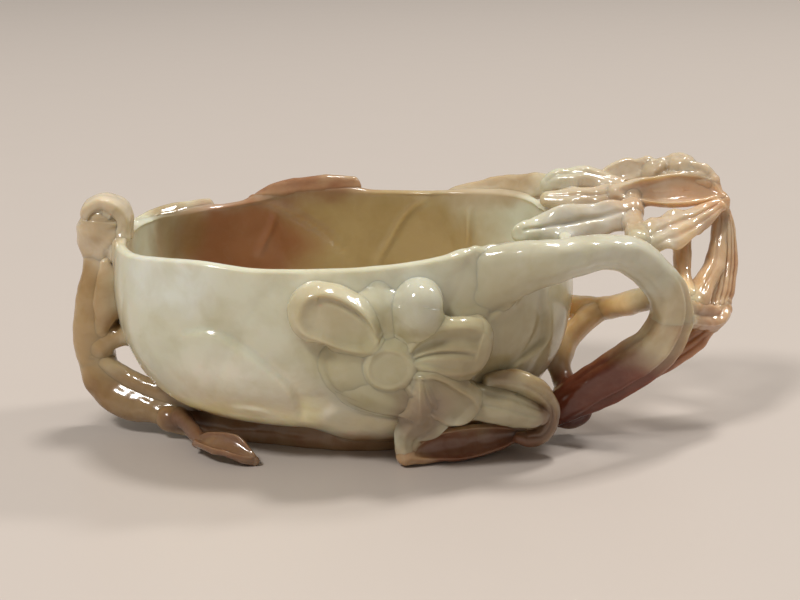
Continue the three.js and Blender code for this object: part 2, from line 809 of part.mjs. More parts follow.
// Stands the cup on the origin, in the middle of its length and width.
const box = new THREE.Box3().setFromObject(cup);
const middle = box.getCenter(new THREE.Vector3());
cup.position.set(-middle.x, -middle.y, -box.min.z);

export default cup;
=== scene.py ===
import math

import bpy
import numpy as np
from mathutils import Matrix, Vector, noise
from mathutils.bvhtree import BVHTree


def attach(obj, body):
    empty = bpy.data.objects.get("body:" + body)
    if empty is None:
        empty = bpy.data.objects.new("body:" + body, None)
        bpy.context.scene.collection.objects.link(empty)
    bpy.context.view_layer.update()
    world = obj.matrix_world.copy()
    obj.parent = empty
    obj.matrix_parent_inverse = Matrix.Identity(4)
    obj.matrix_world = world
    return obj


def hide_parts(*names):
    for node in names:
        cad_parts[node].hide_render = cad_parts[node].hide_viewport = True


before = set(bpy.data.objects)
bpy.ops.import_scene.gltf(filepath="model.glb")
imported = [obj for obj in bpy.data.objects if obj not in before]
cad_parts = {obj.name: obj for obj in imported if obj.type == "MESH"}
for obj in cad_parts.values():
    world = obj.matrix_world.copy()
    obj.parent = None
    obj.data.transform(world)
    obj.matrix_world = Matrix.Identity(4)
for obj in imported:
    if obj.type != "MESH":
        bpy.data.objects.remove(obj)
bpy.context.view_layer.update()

# all carving below is measured in mm from the middle of the bowl's foot
mm = 0.001
cupShift = np.array([-15.7144, 3.5352, 0.0])
weldWithin = 2e-6  # metres
print("stage: frame loaded")


# small helpers

def along(values, shares):
    # smooth run through rows of values, share 0 at the first and 1 at the last
    values = np.asarray(values, float)
    last = len(values) - 1
    padded = np.concatenate(([2 * values[0] - values[1]], values, [2 * values[-1] - values[-2]]))
    place = np.clip(np.asarray(shares, float), 0, 1) * last
    first = np.minimum(place.astype(int), last - 1)
    part = place - first
    if values.ndim > 1:
        part = part[:, None]
    a, b, c, d = (padded[first + step] for step in range(4))
    return 0.5 * (2 * b + (c - a) * part + (2 * a - 5 * b + 4 * c - d) * part ** 2
                  + (3 * b - a - 3 * c + d) * part ** 3)


def unit(vectors):
    return vectors / np.maximum(np.linalg.norm(vectors, axis=-1, keepdims=True), 1e-9)


def bump(distance, width):
    return np.exp(-(distance / width) ** 2)


def squared(angle, power):
    # places on a rounded square; power 2 is a circle, and a higher one is squarer
    across = np.sign(np.cos(angle)) * np.abs(np.cos(angle)) ** (2 / power)
    up = np.sign(np.sin(angle)) * np.abs(np.sin(angle)) ** (2 / power)
    return across, up


def handCut(points, size, height, seed):
    # slow unevenness that a hand-worked surface keeps after polishing
    flat = points.reshape(-1, 3) / size + seed
    values = np.array([noise.noise(Vector(place)) for place in flat])
    return height * values.reshape(points.shape[:-1])


def rolledForm(name, form):
    # a grid primitive rolled into a closed form; its seam and poles are welded shut
    rows, sides = form.shape[0] - 1, form.shape[1] - 1
    bpy.ops.object.select_all(action="DESELECT")
    bpy.ops.mesh.primitive_grid_add(x_subdivisions=sides, y_subdivisions=rows, size=1)
    piece = bpy.context.active_object
    piece.name = name
    flat = np.empty(len(piece.data.vertices) * 3)
    piece.data.vertices.foreach_get("co", flat)
    flat = flat.reshape(-1, 3) + 0.5
    column = np.rint(flat[:, 0] * sides).astype(int)
    row = np.rint(flat[:, 1] * rows).astype(int)
    places = (form[row, column] + cupShift) * mm
    piece.data.vertices.foreach_set("co", places.ravel())
    bpy.ops.object.mode_set(mode="EDIT")
    bpy.ops.mesh.select_all(action="SELECT")
    bpy.ops.mesh.remove_doubles(threshold=weldWithin)
    bpy.ops.mesh.normals_make_consistent(inside=False)
    bpy.ops.object.mode_set(mode="OBJECT")
    bpy.ops.object.shade_smooth()
    return piece


carved = {}


def keep(piece, node, stone, blend, chain=None):
    # the piece stands for its node and waits for its joints to be softened
    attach(piece, "root")
    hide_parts(node)
    carved[node] = {"piece": piece, "stone": stone, "blend": blend, "chain": chain}


# what every member has, unless its own values say otherwise; sizes are in mm
member = {
    # depth is thickness over width, and thick, where given, is a thickness that replaces it;
    # cap is the share of the rows that rounds off each end, and ends how far that end bulges
    "face": (0, -1, 0.25), "depth": 0.8, "thick": 0, "power": 2.2, "ends": (1.0, 1.0), "cap": 0.1,
    "grid": (56, 110), "leastHalf": 0.15, "pathSteps": 400, "near": 0.004, "blend": 1.2, "chain": None,
    # the face that looks out: a hollow with a raised rim, creases, cupping and a wavy edge
    "hollow": 0, "hollowTo": 0.8, "rim": 0, "rimAt": 0.82, "rimWidth": 0.13, "roundness": 2.6,
    "creases": (), "cup": 0, "wave": (0, 0, 0),
    # ribs along it, knots across it, and the tuck where a neighbour carries it on
    "ribs": (), "ribFade": 0.12, "knots": (), "tuck": 0.02, "overlap": 0.08,
    "uneven": 0.35, "unevenSize": 5.0, "unevenSeed": 7.3, "lumps": 0.1, "lumpSize": 2.1, "lumpSeed": 3.9,
    # how far into the wall its hidden side may go, and the share of the cup's length where that ends
    "sunk": 0, "freeFrom": 0.65, "freeSlope": 3,
}


def spine(values, inner):
    # the middle line at these shares of its length, with its direction and half width there
    path = np.array(values["path"], float)
    even = np.linspace(0, 1, values["pathSteps"])
    strides = np.linalg.norm(np.diff(along(path, even), axis=0), axis=1)
    lengths = np.concatenate(([0], np.cumsum(strides)))
    place = np.interp(inner * lengths[-1], lengths, even)
    before = along(path, np.maximum(place - values["near"], 0))
    after = along(path, np.minimum(place + values["near"], 1))
    half = np.maximum(along(values["half"], place), values["leastHalf"])
    return place, along(path, place), unit(after - before), half, lengths[-1]


def faceRelief(values, across, up, inner, scale, long, half):
    # how far the outer face stands up or is cut in, in mm
    upper = 1 - (1 - np.clip(up, 0, 1)) ** 3
    roundness = values["roundness"]
    reach = (np.abs(across * scale) ** roundness + np.abs(long) ** roundness) ** (1 / roundness)
    lift = -upper * values["hollow"] * np.clip(1 - (reach / values["hollowTo"]) ** 2, 0, 1)
    lift += upper * values["rim"] * bump(reach - values["rimAt"], values["rimWidth"])
    fade = np.clip(np.sin(math.pi * inner), 0, 1) ** 0.5
    for place, high, width in values["creases"]:
        lift += upper * fade * high * bump(across - place, width)
    lift += values["cup"] * half * across ** 2
    turns, high, start = values["wave"]
    return lift + high * np.sin(2 * math.pi * (turns * inner + start)) * across ** 2


def swelling(values, angle, inner, half, part):
    # how much thicker or thinner the section is at each place, 1 where it is as drawn
    grow = np.ones((len(inner), angle.shape[1]))
    for end, way in ((part[0], 1), (part[1], -1)):
        if end not in (0, 1):
            # just under the neighbour's surface at the end that it carries on
            grow -= values["tuck"] * np.clip(1 - way * (inner - end) / values["overlap"], 0, 1)
    fade = values["ribFade"]
    for place, high, width, start, end in values["ribs"]:
        away = (np.degrees(angle) - place + 180) % 360 - 180
        there = np.clip((inner - start) / fade, 0, 1) * np.clip((end - inner) / fade, 0, 1)
        grow += there * high * bump(away, width) / half
    for start, high, width in values["knots"]:
        grow += high * bump(inner - start, width)
    return grow


def carve(node, stone, values, part=(0, 1)):
    # one member drawn out along its path, or along a part of it that a neighbour carries on
    values = dict(member, **values)
    sides, rows = values["grid"]
    cap = values["cap"]
    first, last = values["ends"]
    share = np.linspace(0, 1, rows + 1)
    inner = part[0] + (part[1] - part[0]) * np.clip((share - cap) / (1 - 2 * cap), 0, 1)
    turnIn = np.clip(share / cap, 0, 1) * math.pi / 2
    turnOut = np.clip((1 - share) / cap, 0, 1) * math.pi / 2
    scale = (np.sin(turnIn) * np.sin(turnOut))[:, None]

    place, centre, tangent, half, length = spine(values, inner)
    push = (np.cos(turnOut) * last - np.cos(turnIn) * first) * half
    centre = (centre + tangent * push[:, None])[:, None, :]
    ahead = inner * length + push
    long = (2 * (ahead - ahead[0]) / (ahead[-1] - ahead[0]) - 1)[:, None]
    face = np.array(values["face"], float)
    face = along(face, place) if face.ndim > 1 else np.repeat(face[None, :], rows + 1, 0)
    face = unit(face - np.sum(face * tangent, 1, keepdims=True) * tangent)
    side = unit(np.cross(face, tangent))[:, None, :]
    depth = np.array(values["depth"], float)
    thick = half * (along(depth, place) if depth.ndim else depth)
    if values["thick"]:
        thick = np.minimum(values["thick"] / 2, half)

    inner, half, thick = inner[:, None], half[:, None], thick[:, None]
    angle = np.linspace(0, 2 * math.pi, sides + 1)[None, :]
    across, up = (np.repeat(ring, rows + 1, 0) for ring in squared(angle, values["power"]))
    lift = faceRelief(values, across, up, inner, scale, long, half)
    grow = swelling(values, angle, inner, half, part)
    form = (centre + side * (across * (half * scale * grow))[..., None]
            + face[:, None, :] * (up * (thick * scale) * grow + lift * scale ** 0.5)[..., None])
    uneven = (handCut(form, values["unevenSize"], values["uneven"], values["unevenSeed"])
              + handCut(form, values["lumpSize"], values["lumps"], values["lumpSeed"]))
    form = form + unit(form - centre) * (uneven * scale ** 0.5)[..., None]
    if values["sunk"]:
        x, z = form[..., 0], form[..., 2]
        free = values["freeSlope"] * np.maximum(0, np.abs(x) - values["freeFrom"] * halfLength)
        form[..., 1] = np.minimum(form[..., 1], frontWall(x, z) + values["sunk"] + free)
    form[:, -1] = form[:, 0]
    form[0, :] = form[0].mean(0)
    form[-1, :] = form[-1].mean(0)
    form[..., 2] = np.maximum(form[..., 2], 0.0)
    keep(rolledForm(node + "_carved", form), node, stone, values["blend"], values["chain"])


# the bowl; angles run from the right end round by the back
bowl = {
    "length": 113.0, "width": 86.0, "rimHeight": 50.2, "clearance": 2.6,
    "wallAtRim": 2.6, "wallAtFoot": 5.0, "lipRise": 0.35, "footHollow": 0.6, "floorDip": 0.4,
    "squareness": 2.5, "footShare": 0.5, "rimDraw": 0.02, "wallBend": 0.64, "rowBend": 1.6,
    # rise and fall of the rim every 15 degrees
    "rimLifts": (-0.8, 1.0, 2.4, 2.5, 1.9, 1.3, 1.1, 0.4, -1.4, -2.2, -2.0, -1.8,
                 -2.3, -2.4, -2.4, -1.5, -1.0, -2.1, -1.8, -0.2, 1.8, 0.8, -0.6, -1.6),
    # the petals of its wall; the blossom's side is carved flatter, and so is the inside
    "petalEdges": (20, 70, 112, 160, 210, 260, 298, 334), "petalSlant": 30, "petalBend": 1.5,
    "petalRelief": 1.2, "frontRelief": 0.37, "insideRelief": 0.5, "reliefGrows": 4,
    # the underside rises between these places, and the inner floor by a share of that
    "footLift": 3.6, "footLiftTo": (4.0, -10.0), "innerLift": 0.45,
    # cut lines fade out towards the cup's ends and its foot
    "cutsFade": 4, "cutsFrom": 5.5, "cutsGrow": 6, "deepestCut": 1.4,
    # unevenness of the polished wall, which fades out at the rim
    "uneven": 0.28, "unevenSize": 9.0, "unevenSeed": 3.1, "evenAbove": 4, "evenOver": 6,
    "rows": (14, 100, 14, 92, 6), "columns": 420, "columnShift": 8.595, "blend": 6.0,
}
halfLength, halfWidth = bowl["length"] / 2, bowl["width"] / 2


def spread(rise):
    draw = bowl["rimDraw"] * np.maximum(0, (rise - 0.5) / 0.5) ** 2
    bend = (1 - (1 - rise) ** 3) ** bowl["wallBend"]
    return bowl["footShare"] + (1 - bowl["footShare"]) * bend - draw


def rimAt(turn):
    # the lifts are laid out three times, so that the run has no end at the seam
    lifts = np.array(bowl["rimLifts"] * 3)
    count = len(bowl["rimLifts"])
    return bowl["rimHeight"] + along(lifts, (np.mod(turn, 360) / 360 * count + count) / (3 * count - 1))


def petalSwell(turn, rise):
    slanted = np.mod(turn + bowl["petalSlant"] * (1 - rise), 360)
    edges = np.array(bowl["petalEdges"])
    edges = np.concatenate(([edges[-1] - 360], edges, [edges[0] + 360]))
    before = np.searchsorted(edges, slanted, side="right") - 1
    part = (slanted - edges[before]) / (edges[before + 1] - edges[before])
    return np.sqrt(np.clip(np.sin(math.pi * part ** bowl["petalBend"]), 0, 1))


# a cut line is drawn through this many points, and runs out softly at both ends
drawn = {"points": 60, "endCurve": 0.6, "endWidth": 1.5}


def lineField(x, z, line):
    # signed distance to a drawn line, and how far along it the nearest place lies
    line = along(np.array(line, float), np.linspace(0, 1, drawn["points"]))
    best = np.full(x.shape, 1e9)
    sign = np.ones(x.shape)
    place = np.zeros(x.shape)
    for index in range(len(line) - 1):
        (ax, az), (bx, bz) = line[index], line[index + 1]
        dx, dz = bx - ax, bz - az
        part = np.clip(((x - ax) * dx + (z - az) * dz) / (dx * dx + dz * dz), 0, 1)
        away = np.hypot(x - ax - part * dx, z - az - part * dz)
        nearer = away < best
        best = np.where(nearer, away, best)
        sign = np.where(nearer, np.sign(dx * (z - az) - dz * (x - ax)), sign)
        place = np.where(nearer, (index + part) / (len(line) - 1), place)
    return best * sign, place


def carvedStep(x, z, step):
    # one side of the line stands proud and fades away, the other lies a little lower
    away, place = lineField(x, z, step["line"])
    away = away * step["proudSide"]
    fade = np.sin(math.pi * np.clip(place, 0.001, 0.999)) ** drawn["endCurve"]
    fade = fade * np.where((place <= 0) | (place >= 1), bump(away, drawn["endWidth"]), 1)
    high = 0.5 * (1 + np.tanh(away / step["soft"]))
    proud = step["high"] * np.exp(-np.maximum(away, 0) / step["fade"])
    low = step["low"] * np.exp(np.minimum(away, 0) / step["fadeLow"])
    return fade * (proud * high - low * (1 - high))


def carvedRidge(x, z, ridge):
    away, place = lineField(x, z, ridge["line"])
    return ridge["high"] * bump(away, ridge["width"]) * np.sin(math.pi * np.clip(place, 0, 1)) ** 0.5


# lines cut in the front wall, as (x, z)
frontSteps = (
    {"line": ((-36.5, 33), (-31.6, 34.1), (-26.9, 33.6), (-21.3, 30.3), (-17.5, 27.5), (-13.5, 23.8),
              (-10.9, 20.5), (-9.5, 14.9), (-9.6, 10.4)),
     "proudSide": -1, "high": 0.6, "fade": 7, "low": 2.0, "fadeLow": 3.4, "soft": 0.55},
    {"line": ((-1.9, 21.1), (-5, 18.9), (-8.4, 18.6), (-9, 14.9), (-8.6, 10.2), (-6.1, 5.1)),
     "proudSide": -1, "high": 0.2, "fade": 4, "low": 0.5, "fadeLow": 4, "soft": 0.6},
    {"line": ((-26, 14.5), (-21, 14.8), (-16.5, 14.0), (-13, 11.6), (-11.4, 8.0)),
     "proudSide": -1, "high": 0.3, "fade": 5, "low": 0.7, "fadeLow": 2.6, "soft": 0.6},
    {"line": ((1.2, 17.3), (-2.3, 15), (-4.3, 12.5), (-4.4, 9.2), (-2.9, 4.1)),
     "proudSide": 1, "high": 0.9, "fade": 8, "low": 0.3, "fadeLow": 4, "soft": 0.9},
    {"line": ((46.9, 43), (47, 38.9), (47.4, 33.9), (47.3, 29.2), (44.1, 26.5), (39.8, 23.9), (38.2, 21.7)),
     "proudSide": 1, "high": 1.3, "fade": 6, "low": 0.5, "fadeLow": 4, "soft": 0.45},
    {"line": ((31.9, 36.7), (36.5, 40.9), (41.2, 42.5), (46.1, 42.7)),
     "proudSide": 1, "high": 0.9, "fade": 3, "low": 0.5, "fadeLow": 4, "soft": 0.5},
)
# thin ridges left standing inside the back wall, as (x, z)
insideRidges = (
    {"line": ((-24.1, 50.2), (-18.9, 48.1), (-13.1, 45.2), (-6.4, 40.9), (-2.4, 36.8), (1.6, 32.7)),
     "high": 1.1, "width": 0.65},
    {"line": ((-19.7, 46.4), (-21.1, 42.4), (-23.3, 37.8), (-24.4, 35.1)), "high": 0.7, "width": 0.7},
    {"line": ((21.8, 50.9), (17, 47.7), (13.8, 43.8), (11.1, 38.8), (8.4, 34.6), (7.3, 31.6)),
     "high": 1.2, "width": 0.65},
    {"line": ((32.4, 49.4), (32.2, 43.9), (31.7, 37)), "high": 0.7, "width": 0.7},
)


def footRise(x):
    # towards the left the underside is cut higher, up to the edge of a petal
    start, end = bowl["footLiftTo"]
    part = np.clip((start - x) / (start - end), 0, 1)
    return bowl["footLift"] * part * part * (3 - 2 * part)


def bowlRings(turn):
    # rings from the middle of the underside up the outside, over the rim and down the inside
    across, deep = squared(np.radians(turn), bowl["squareness"])
    side = np.where(deep < 0, bowl["frontRelief"], 1.0)
    rim = rimAt(turn)
    wall, foot, clearance = bowl["wallAtRim"], bowl["wallAtFoot"], bowl["clearance"]

    def ring(rise, inset, relief=1.0):
        grown = min(1, bowl["reliefGrows"] * rise)
        swell = bowl["petalRelief"] * (petalSwell(turn, rise) - 1) * grown * side * relief - inset
        out = spread(np.array(rise))
        x = across * (halfLength * out + swell)
        height = clearance + rise * (rim - clearance) + footRise(x) * (1 - rise) ** 4
        return np.stack((x, deep * (halfWidth * out + swell), height), 1)

    def floorHeight(x):
        return clearance + foot + bowl["innerLift"] * footRise(x)

    under, outer, lip, inside, floor = bowl["rows"]
    rings = []
    edge = ring(0.0, 0.0)
    for part in np.linspace(0, 1, under + 1)[:-1]:
        flat = edge * np.array([part, part, 1])
        flat[:, 2] = edge[:, 2] * part ** 3 + (clearance + bowl["footHollow"]) * (1 - part ** 3)
        rings.append(flat)
    for part in np.linspace(0, 1, outer + 1):
        rings.append(ring(part ** bowl["rowBend"], 0.0))
    for part in np.linspace(0, 1, lip + 1)[1:-1]:
        edge = ring(1.0, wall / 2 * (1 - math.cos(math.pi * part)))
        edge[:, 2] += wall * bowl["lipRise"] * math.sin(math.pi * part)
        rings.append(edge)
    for part in np.linspace(1, 0, inside + 1):
        rise = part ** bowl["rowBend"]
        edge = ring(rise, wall + (foot - wall) * (1 - rise), bowl["insideRelief"])
        share = 1 - (1 - rise) ** 2
        least = floorHeight(edge[:, 0])
        edge[:, 2] = np.maximum(edge[:, 2], least) * share + least * (1 - share)
        rings.append(edge)
    for part in np.linspace(1, 0, floor + 1)[1:]:
        flat = edge * np.array([part, part, 1])
        flat[:, 2] = floorHeight(flat[:, 0]) - bowl["floorDip"] * (1 - part ** 2)
        rings.append(flat)
    return np.array(rings), np.stack((across, deep, 0 * across), 1)[None]


def bowlForm():
    turn = np.linspace(0, 360, bowl["columns"] + 1)
    turn = turn - bowl["columnShift"] * np.sin(2 * math.pi * (turn / 360 - 0.75))
    form, outward = bowlRings(turn - turn[0])
    x, y, z = form[..., 0], form[..., 1], form[..., 2]
    under, outer, lip, inside, floor = bowl["rows"]
    outside, within = np.zeros(x.shape), np.zeros(x.shape)
    outside[under:under + outer + 1] = 1
    within[under + outer + lip:under + outer + lip + inside] = 1
    relief = np.zeros(x.shape)
    grown = np.clip((z - bowl["cutsFrom"]) / bowl["cutsGrow"], 0, 1)
    for step in frontSteps:
        relief += outside * np.clip(-y / bowl["cutsFade"], 0, 1) * grown * carvedStep(x, z, step)
    for ridge in insideRidges:
        relief -= within * np.clip(y / bowl["cutsFade"], 0, 1) * carvedRidge(x, z, ridge)
    # no cut goes deeper than about half of the wall at its rim
    deepest = bowl["deepestCut"]
    relief = np.where(relief < 0, deepest * np.tanh(relief / deepest), relief)
    below = np.clip((bowl["rimHeight"] + bowl["evenAbove"] - z) / bowl["evenOver"], 0, 1)
    relief += handCut(form, bowl["unevenSize"], bowl["uneven"], bowl["unevenSeed"]) * below
    form = form + outward * relief[..., None]
    form[:, -1] = form[:, 0]
    return form


keep(rolledForm("bowl_carved", bowlForm()), "bowl", "white_nephrite", bowl["blend"])
print("stage: bowl carved")


def frontWall(x, z):
    # how far forward the plain front wall stands at this place
    rise = np.clip((z - bowl["clearance"]) / (bowl["rimHeight"] - bowl["clearance"]), 0, 1)
    out = spread(rise)
    part = np.minimum(0.98, abs(x) / (halfLength * out))  # short of the cup's very end
    return -halfWidth * out * (1 - part ** bowl["squareness"]) ** (1 / bowl["squareness"])


def onFront(right, up, proud):
    # a place on the front wall, this far out along the wall's own direction
    step = 0.5
    slopes = ((frontWall(right + step, up) - frontWall(right - step, up)) / (2 * step), -1.0,
              (frontWall(right, up + step) - frontWall(right, up - step)) / (2 * step))
    normal = unit(np.array(slopes))
    return np.array([right, frontWall(right, up), up]) + normal * proud, normal


# the blossom on the front wall; a petal's path is given beside its middle: right, up, proud of the wall
blossom = {"right": 11.07, "up": 27.96, "stone": "white_nephrite"}
petalCut = {"power": 2.1, "uneven": 0.15, "lumps": 0.02, "cap": 0.2, "blend": 3.6, "sunk": 1.5}


def petal(node, values):
    spots = [onFront(blossom["right"] + right, blossom["up"] + up, proud)
             for right, up, proud in values["path"]]
    places = {"path": [spot[0] for spot in spots], "face": [spot[1] for spot in spots]}
    carve(node, blossom["stone"], {**petalCut, **values, **places})


petalTop = {
    "path": ((4.2, 7.4, 0.4), (5.6, 10.0, 1.8), (6.4, 12.2, 2.4), (6.8, 13.9, 2.3)),
    "half": (3.0, 4.5, 5.2, 5.2), "thick": 9.6, "power": 2.0, "uneven": 0.1, "ends": (0.6, 1.0),
    "cap": 0.24, "grid": (80, 120),
}
petal("blossom_petal_top", petalTop)

petalUpperLeft = {
    "path": ((-3.6, 5.4, 0.4), (-8.0, 9.0, 1.6), (-12.6, 11.6, 2.4), (-16.0, 12.3, 2.3)),
    "half": (3.6, 6.0, 6.8, 6.8), "thick": 7.8, "cup": 0.06, "hollow": 1.9, "rim": 0.9, "rimAt": 0.78,
    "creases": ((-0.56, -0.7, 0.09),), "ends": (0.6, 0.9), "grid": (88, 140),
}
petal("blossom_petal_upper_left", petalUpperLeft)

petalRight = {
    "path": ((4.6, 2.2, 0.2), (10.0, 3.9, 1.3), (15.2, 4.1, 2.2), (18.6, 3.4, 2.0)),
    "half": (2.8, 5.8, 7.1, 7.1), "thick": 7.2, "cup": 0.1, "hollow": 0.5, "rim": 0.6,
    "creases": ((-0.16, -1.2, 0.08), (0.3, -1.3, 0.26)), "ends": (0.6, 0.65), "grid": (92, 130),
    "wave": (1.5, 0.5, 0.1),
}
petal("blossom_petal_right", petalRight)

petalLowerRight = {
    "path": ((4.6, -2.6, 0.4), (9.0, -5.2, 1.8), (13.0, -8.0, 3.0), (15.8, -9.8, 2.8)),
    "half": (2.6, 4.8, 5.6, 5.6), "thick": 8.4, "cup": 0.08, "hollow": 1.6, "rim": 0.6, "ends": (0.6, 0.8),
    "grid": (84, 120),
}
petal("blossom_petal_lower_right", petalLowerRight)

petalUpper = {
    "path": ((-1.2, 5.0, -0.6), (-1.8, 9.0, -0.3), (-2.2, 13.0, -0.5), (-2.2, 16.0, -2.2)),
    "half": (3.2, 5.0, 5.6, 4.4), "thick": 6.4, "power": 2.0, "uneven": 0.1, "blend": 4.5,
}
petal("blossom_petal_upper", petalUpper)

petalLeft = {
    "path": ((-2.0, 2.0, -0.2), (-5.6, 0.2, 0.6), (-8.6, -1.2, 1.0), (-10.8, -2.0, 0.6)),
    "half": (5.0, 6.6, 7.2, 6.2), "thick": 5.8, "uneven": 0.1, "blend": 5.0, "ends": (0.5, 0.55),
}
petal("blossom_petal_left", petalLeft)

petalLower = {
    "path": ((1.4, -1.6, -0.4), (-0.2, -4.6, 0.3), (-1.8, -7.4, 0.7), (-2.6, -9.2, 0.4)),
    "half": (6.4, 9.4, 10.8, 9.4), "thick": 6.4, "uneven": 0.1, "ends": (0.4, 0.4), "blend": 5.0,
}
petal("blossom_petal_lower", petalLower)

# the blossom's middle: a low round disc with a faint raised ring and a dimple
disc = {"radius": 6.7, "proud": 4.6, "sink": 1.4, "underShare": 0.3, "edge": 0.62, "dome": 0.5,
        "ring": 0.35, "ringAt": 0.72, "ringWidth": 0.1, "dimple": 0.3, "dimpleWidth": 0.5,
        "rows": 60, "sides": 72, "blend": 2.6}


def discForm():
    place, normal = onFront(blossom["right"], blossom["up"], 0)
    side = unit(np.cross(np.array([0, 0, 1.0]), normal))
    top = np.cross(normal, side)
    angle = np.linspace(0, 2 * math.pi, disc["sides"] + 1)[:, None]
    circle = np.cos(angle) * side + np.sin(angle) * top
    under = disc["underShare"]
    form = []
    for share in np.linspace(0, 1, disc["rows"] + 1):
        if share < under:
            radius, high = disc["radius"] * math.sin(share / under * math.pi / 2), -disc["sink"]
        else:
            part = (share - under) / (1 - under)
            radius = disc["radius"] * math.cos(part * math.pi / 2) ** disc["edge"]
            out = radius / disc["radius"]
            high = disc["proud"] * math.sin(part * math.pi / 2) ** disc["dome"]
            high += disc["ring"] * bump(out - disc["ringAt"], disc["ringWidth"])
            high -= disc["dimple"] * bump(out, disc["dimpleWidth"])
        form.append(place + normal * high + radius * circle)
    return np.array(form)


keep(rolledForm("blossom_centre_carved", discForm()), "blossom_centre", blossom["stone"], disc["blend"])
print("stage: blossom carved")

# the large branch that is the handle
handle = {
    "path": ((22.5, -37.8, 42.6), (27.0, -36.9, 43.8), (32.7, -35.9, 45.1), (40.6, -36.2, 48.1),
             (49.9, -36.0, 50.1), (59.5, -31, 50.8), (67.1, -26, 48.9), (72.9, -22, 44.2),
             (76.9, -19, 38.6), (78.2, -17, 33), (77.2, -16.2, 28.4), (74.4, -15.4, 23.8), (70, -14.7, 20),
             (64.4, -13.8, 16), (58.5, -13.2, 12), (53, -12.5, 8)),
    "half": (4, 6.5, 7.3, 6.3, 4.9, 4.1, 4.5, 4.6, 4.6, 4.7, 5.0, 5.3, 5.6, 5.4, 5.0, 4.2),
    "depth": (0.3, 0.32, 0.34, 0.54, 0.8, 0.92, 0.88, 0.88, 0.88, 0.87, 0.85, 0.83, 0.82, 0.82, 0.82, 0.82),
    "face": (0.17, -1, 0.1), "blend": 4.6, "grid": (88, 190), "cap": 0.05, "ends": (1, 0.8), "uneven": 0.3,
    "chain": "handle", "sunk": 1.5,
    "ribs": ((62, 0.3, 20, 0.15, 0.6), (128, -0.35, 14, 0.1, 0.7), (22, 1.1, 9, 0.55, 1.0),
             (44, -0.9, 8, 0.55, 1.0), (70, 0.4, 10, 0.6, 1.0), (120, 0.5, 14, 0.6, 1.0),
             (150, -0.5, 9, 0.6, 1.0)),
}
carve("handle_branch_upper", "white_nephrite", handle, (0, 0.71))
carve("handle_branch_lower", "russet_nephrite", handle, (0.63, 1))

rearLimbUpper = {
    "path": ((52.6, 14.6, 27.2), (58.5, 11, 27.4), (65.5, 5, 28.6), (71.1, -3, 32.1), (75.5, -11, 36.1)),
    "half": (3.8, 3.3, 3.3, 3.4, 3.4), "face": (0, 0, 1), "depth": 0.9, "blend": 3.0, "ends": (0.4, 1),
}
carve("rear_limb_upper", "honey_nephrite", rearLimbUpper)

rearLimbLower = {
    "path": ((66, 5, 29), (59.6, 3, 25.0), (55.3, 0, 20.4), (53.6, -4, 16.2), (54.8, -8, 11.6)),
    "half": (2.6, 3.1, 3.1, 3.0, 3.2), "face": (1, 0, 0.2), "depth": 0.9, "blend": 3.0,
}
carve("rear_limb_lower", "honey_nephrite", rearLimbLower)

rightKnot = {
    "path": ((80.0, -15.4, 33), (83.6, -13, 31.4), (87.5, -9.5, 29.8), (91.5, -6, 29), (94.3, -3.2, 30.4)),
    "half": (3.2, 3.1, 3.0, 2.7, 1.8), "depth": 0.9, "blend": 3.0, "lumps": 0.3,
    "ribs": ((40, 0.5, 16, 0, 1), (110, 0.6, 16, 0, 1), (75, -0.6, 12, 0, 1)),
}
carve("right_knot", "russet_nephrite", rightKnot)

rightLimb = {
    "path": ((94.2, 9.2, 55), (93.6, 6.4, 48.4), (92.0, 2.2, 41.4), (88.4, -3.8, 36.6), (85.3, -9, 33.2)),
    "half": (2.2, 2.0, 2.1, 2.6, 2.9), "depth": 1.0, "face": (0.3, -1, 0), "blend": 2.6, "lumps": 0.12,
    "ribs": ((70, 0.4, 16, 0, 1), (115, -0.4, 14, 0, 1)),
}
carve("right_limb", "honey_nephrite", rightLimb)

rightLeaf = {
    "path": ((95.0, 7.8, 52.4), (95.4, 6.2, 46.8), (95.0, 3.6, 40.6), (93.6, -0.4, 34.8), (91.4, -4, 30.8),
             (89.8, -6, 28)),
    "half": (1.6, 2.8, 3.4, 3.6, 3.0, 1.4), "thick": 4.2, "face": (0.3, -1, 0), "power": 2.0,
    "creases": ((-0.62, -0.5, 0.08), (-0.2, -0.7, 0.1), (0.16, -0.4, 0.07), (0.52, -0.6, 0.1)),
    "blend": 2.2, "lumps": 0.12, "grid": (100, 130),
}
carve("right_leaf", "russet_nephrite", rightLeaf)

rightTwig = {
    "path": ((84.2, 6.8, 49.6), (84.0, 3.4, 43.9), (83.4, -2, 39.6), (83.4, -9, 35.6)),
    "half": (2.6, 2.3, 2.1, 2.0), "depth": 1.0, "face": (0.2, -1, 0.4), "blend": 1.6,
}
carve("right_twig", "honey_nephrite", rightTwig)

lowerRightLeaf = {
    "path": ((89.9, -5, 26.2), (86, -6, 23.4), (80, -7, 19.6), (74, -7.6, 16), (67.8, -8, 12.4),
             (62.4, -8.4, 10)),
    "half": (1.8, 3.3, 3.6, 3.3, 2.6, 1.2), "thick": 3.6, "face": (0.3, -0.8, 0.6),
    "creases": ((0, -0.6, 0.1), (0.5, -0.4, 0.1), (-0.5, 0.3, 0.12)), "blend": 2.6, "lumps": 0.2,
    "grid": (76, 120),
}
carve("lower_right_leaf", "russet_nephrite", lowerRightLeaf)

smallCurledLeaf = {
    "path": ((52.4, -11.2, 4.2), (56.3, -10, 3.9), (59, -9.2, 5.4), (59.9, -9, 8.1)),
    "half": (1.7, 2.0, 2.0, 1.7), "depth": 0.9, "face": (0, -1, 0.2),
}
carve("small_curled_leaf", "russet_nephrite", smallCurledLeaf)
print("stage: handle carved")

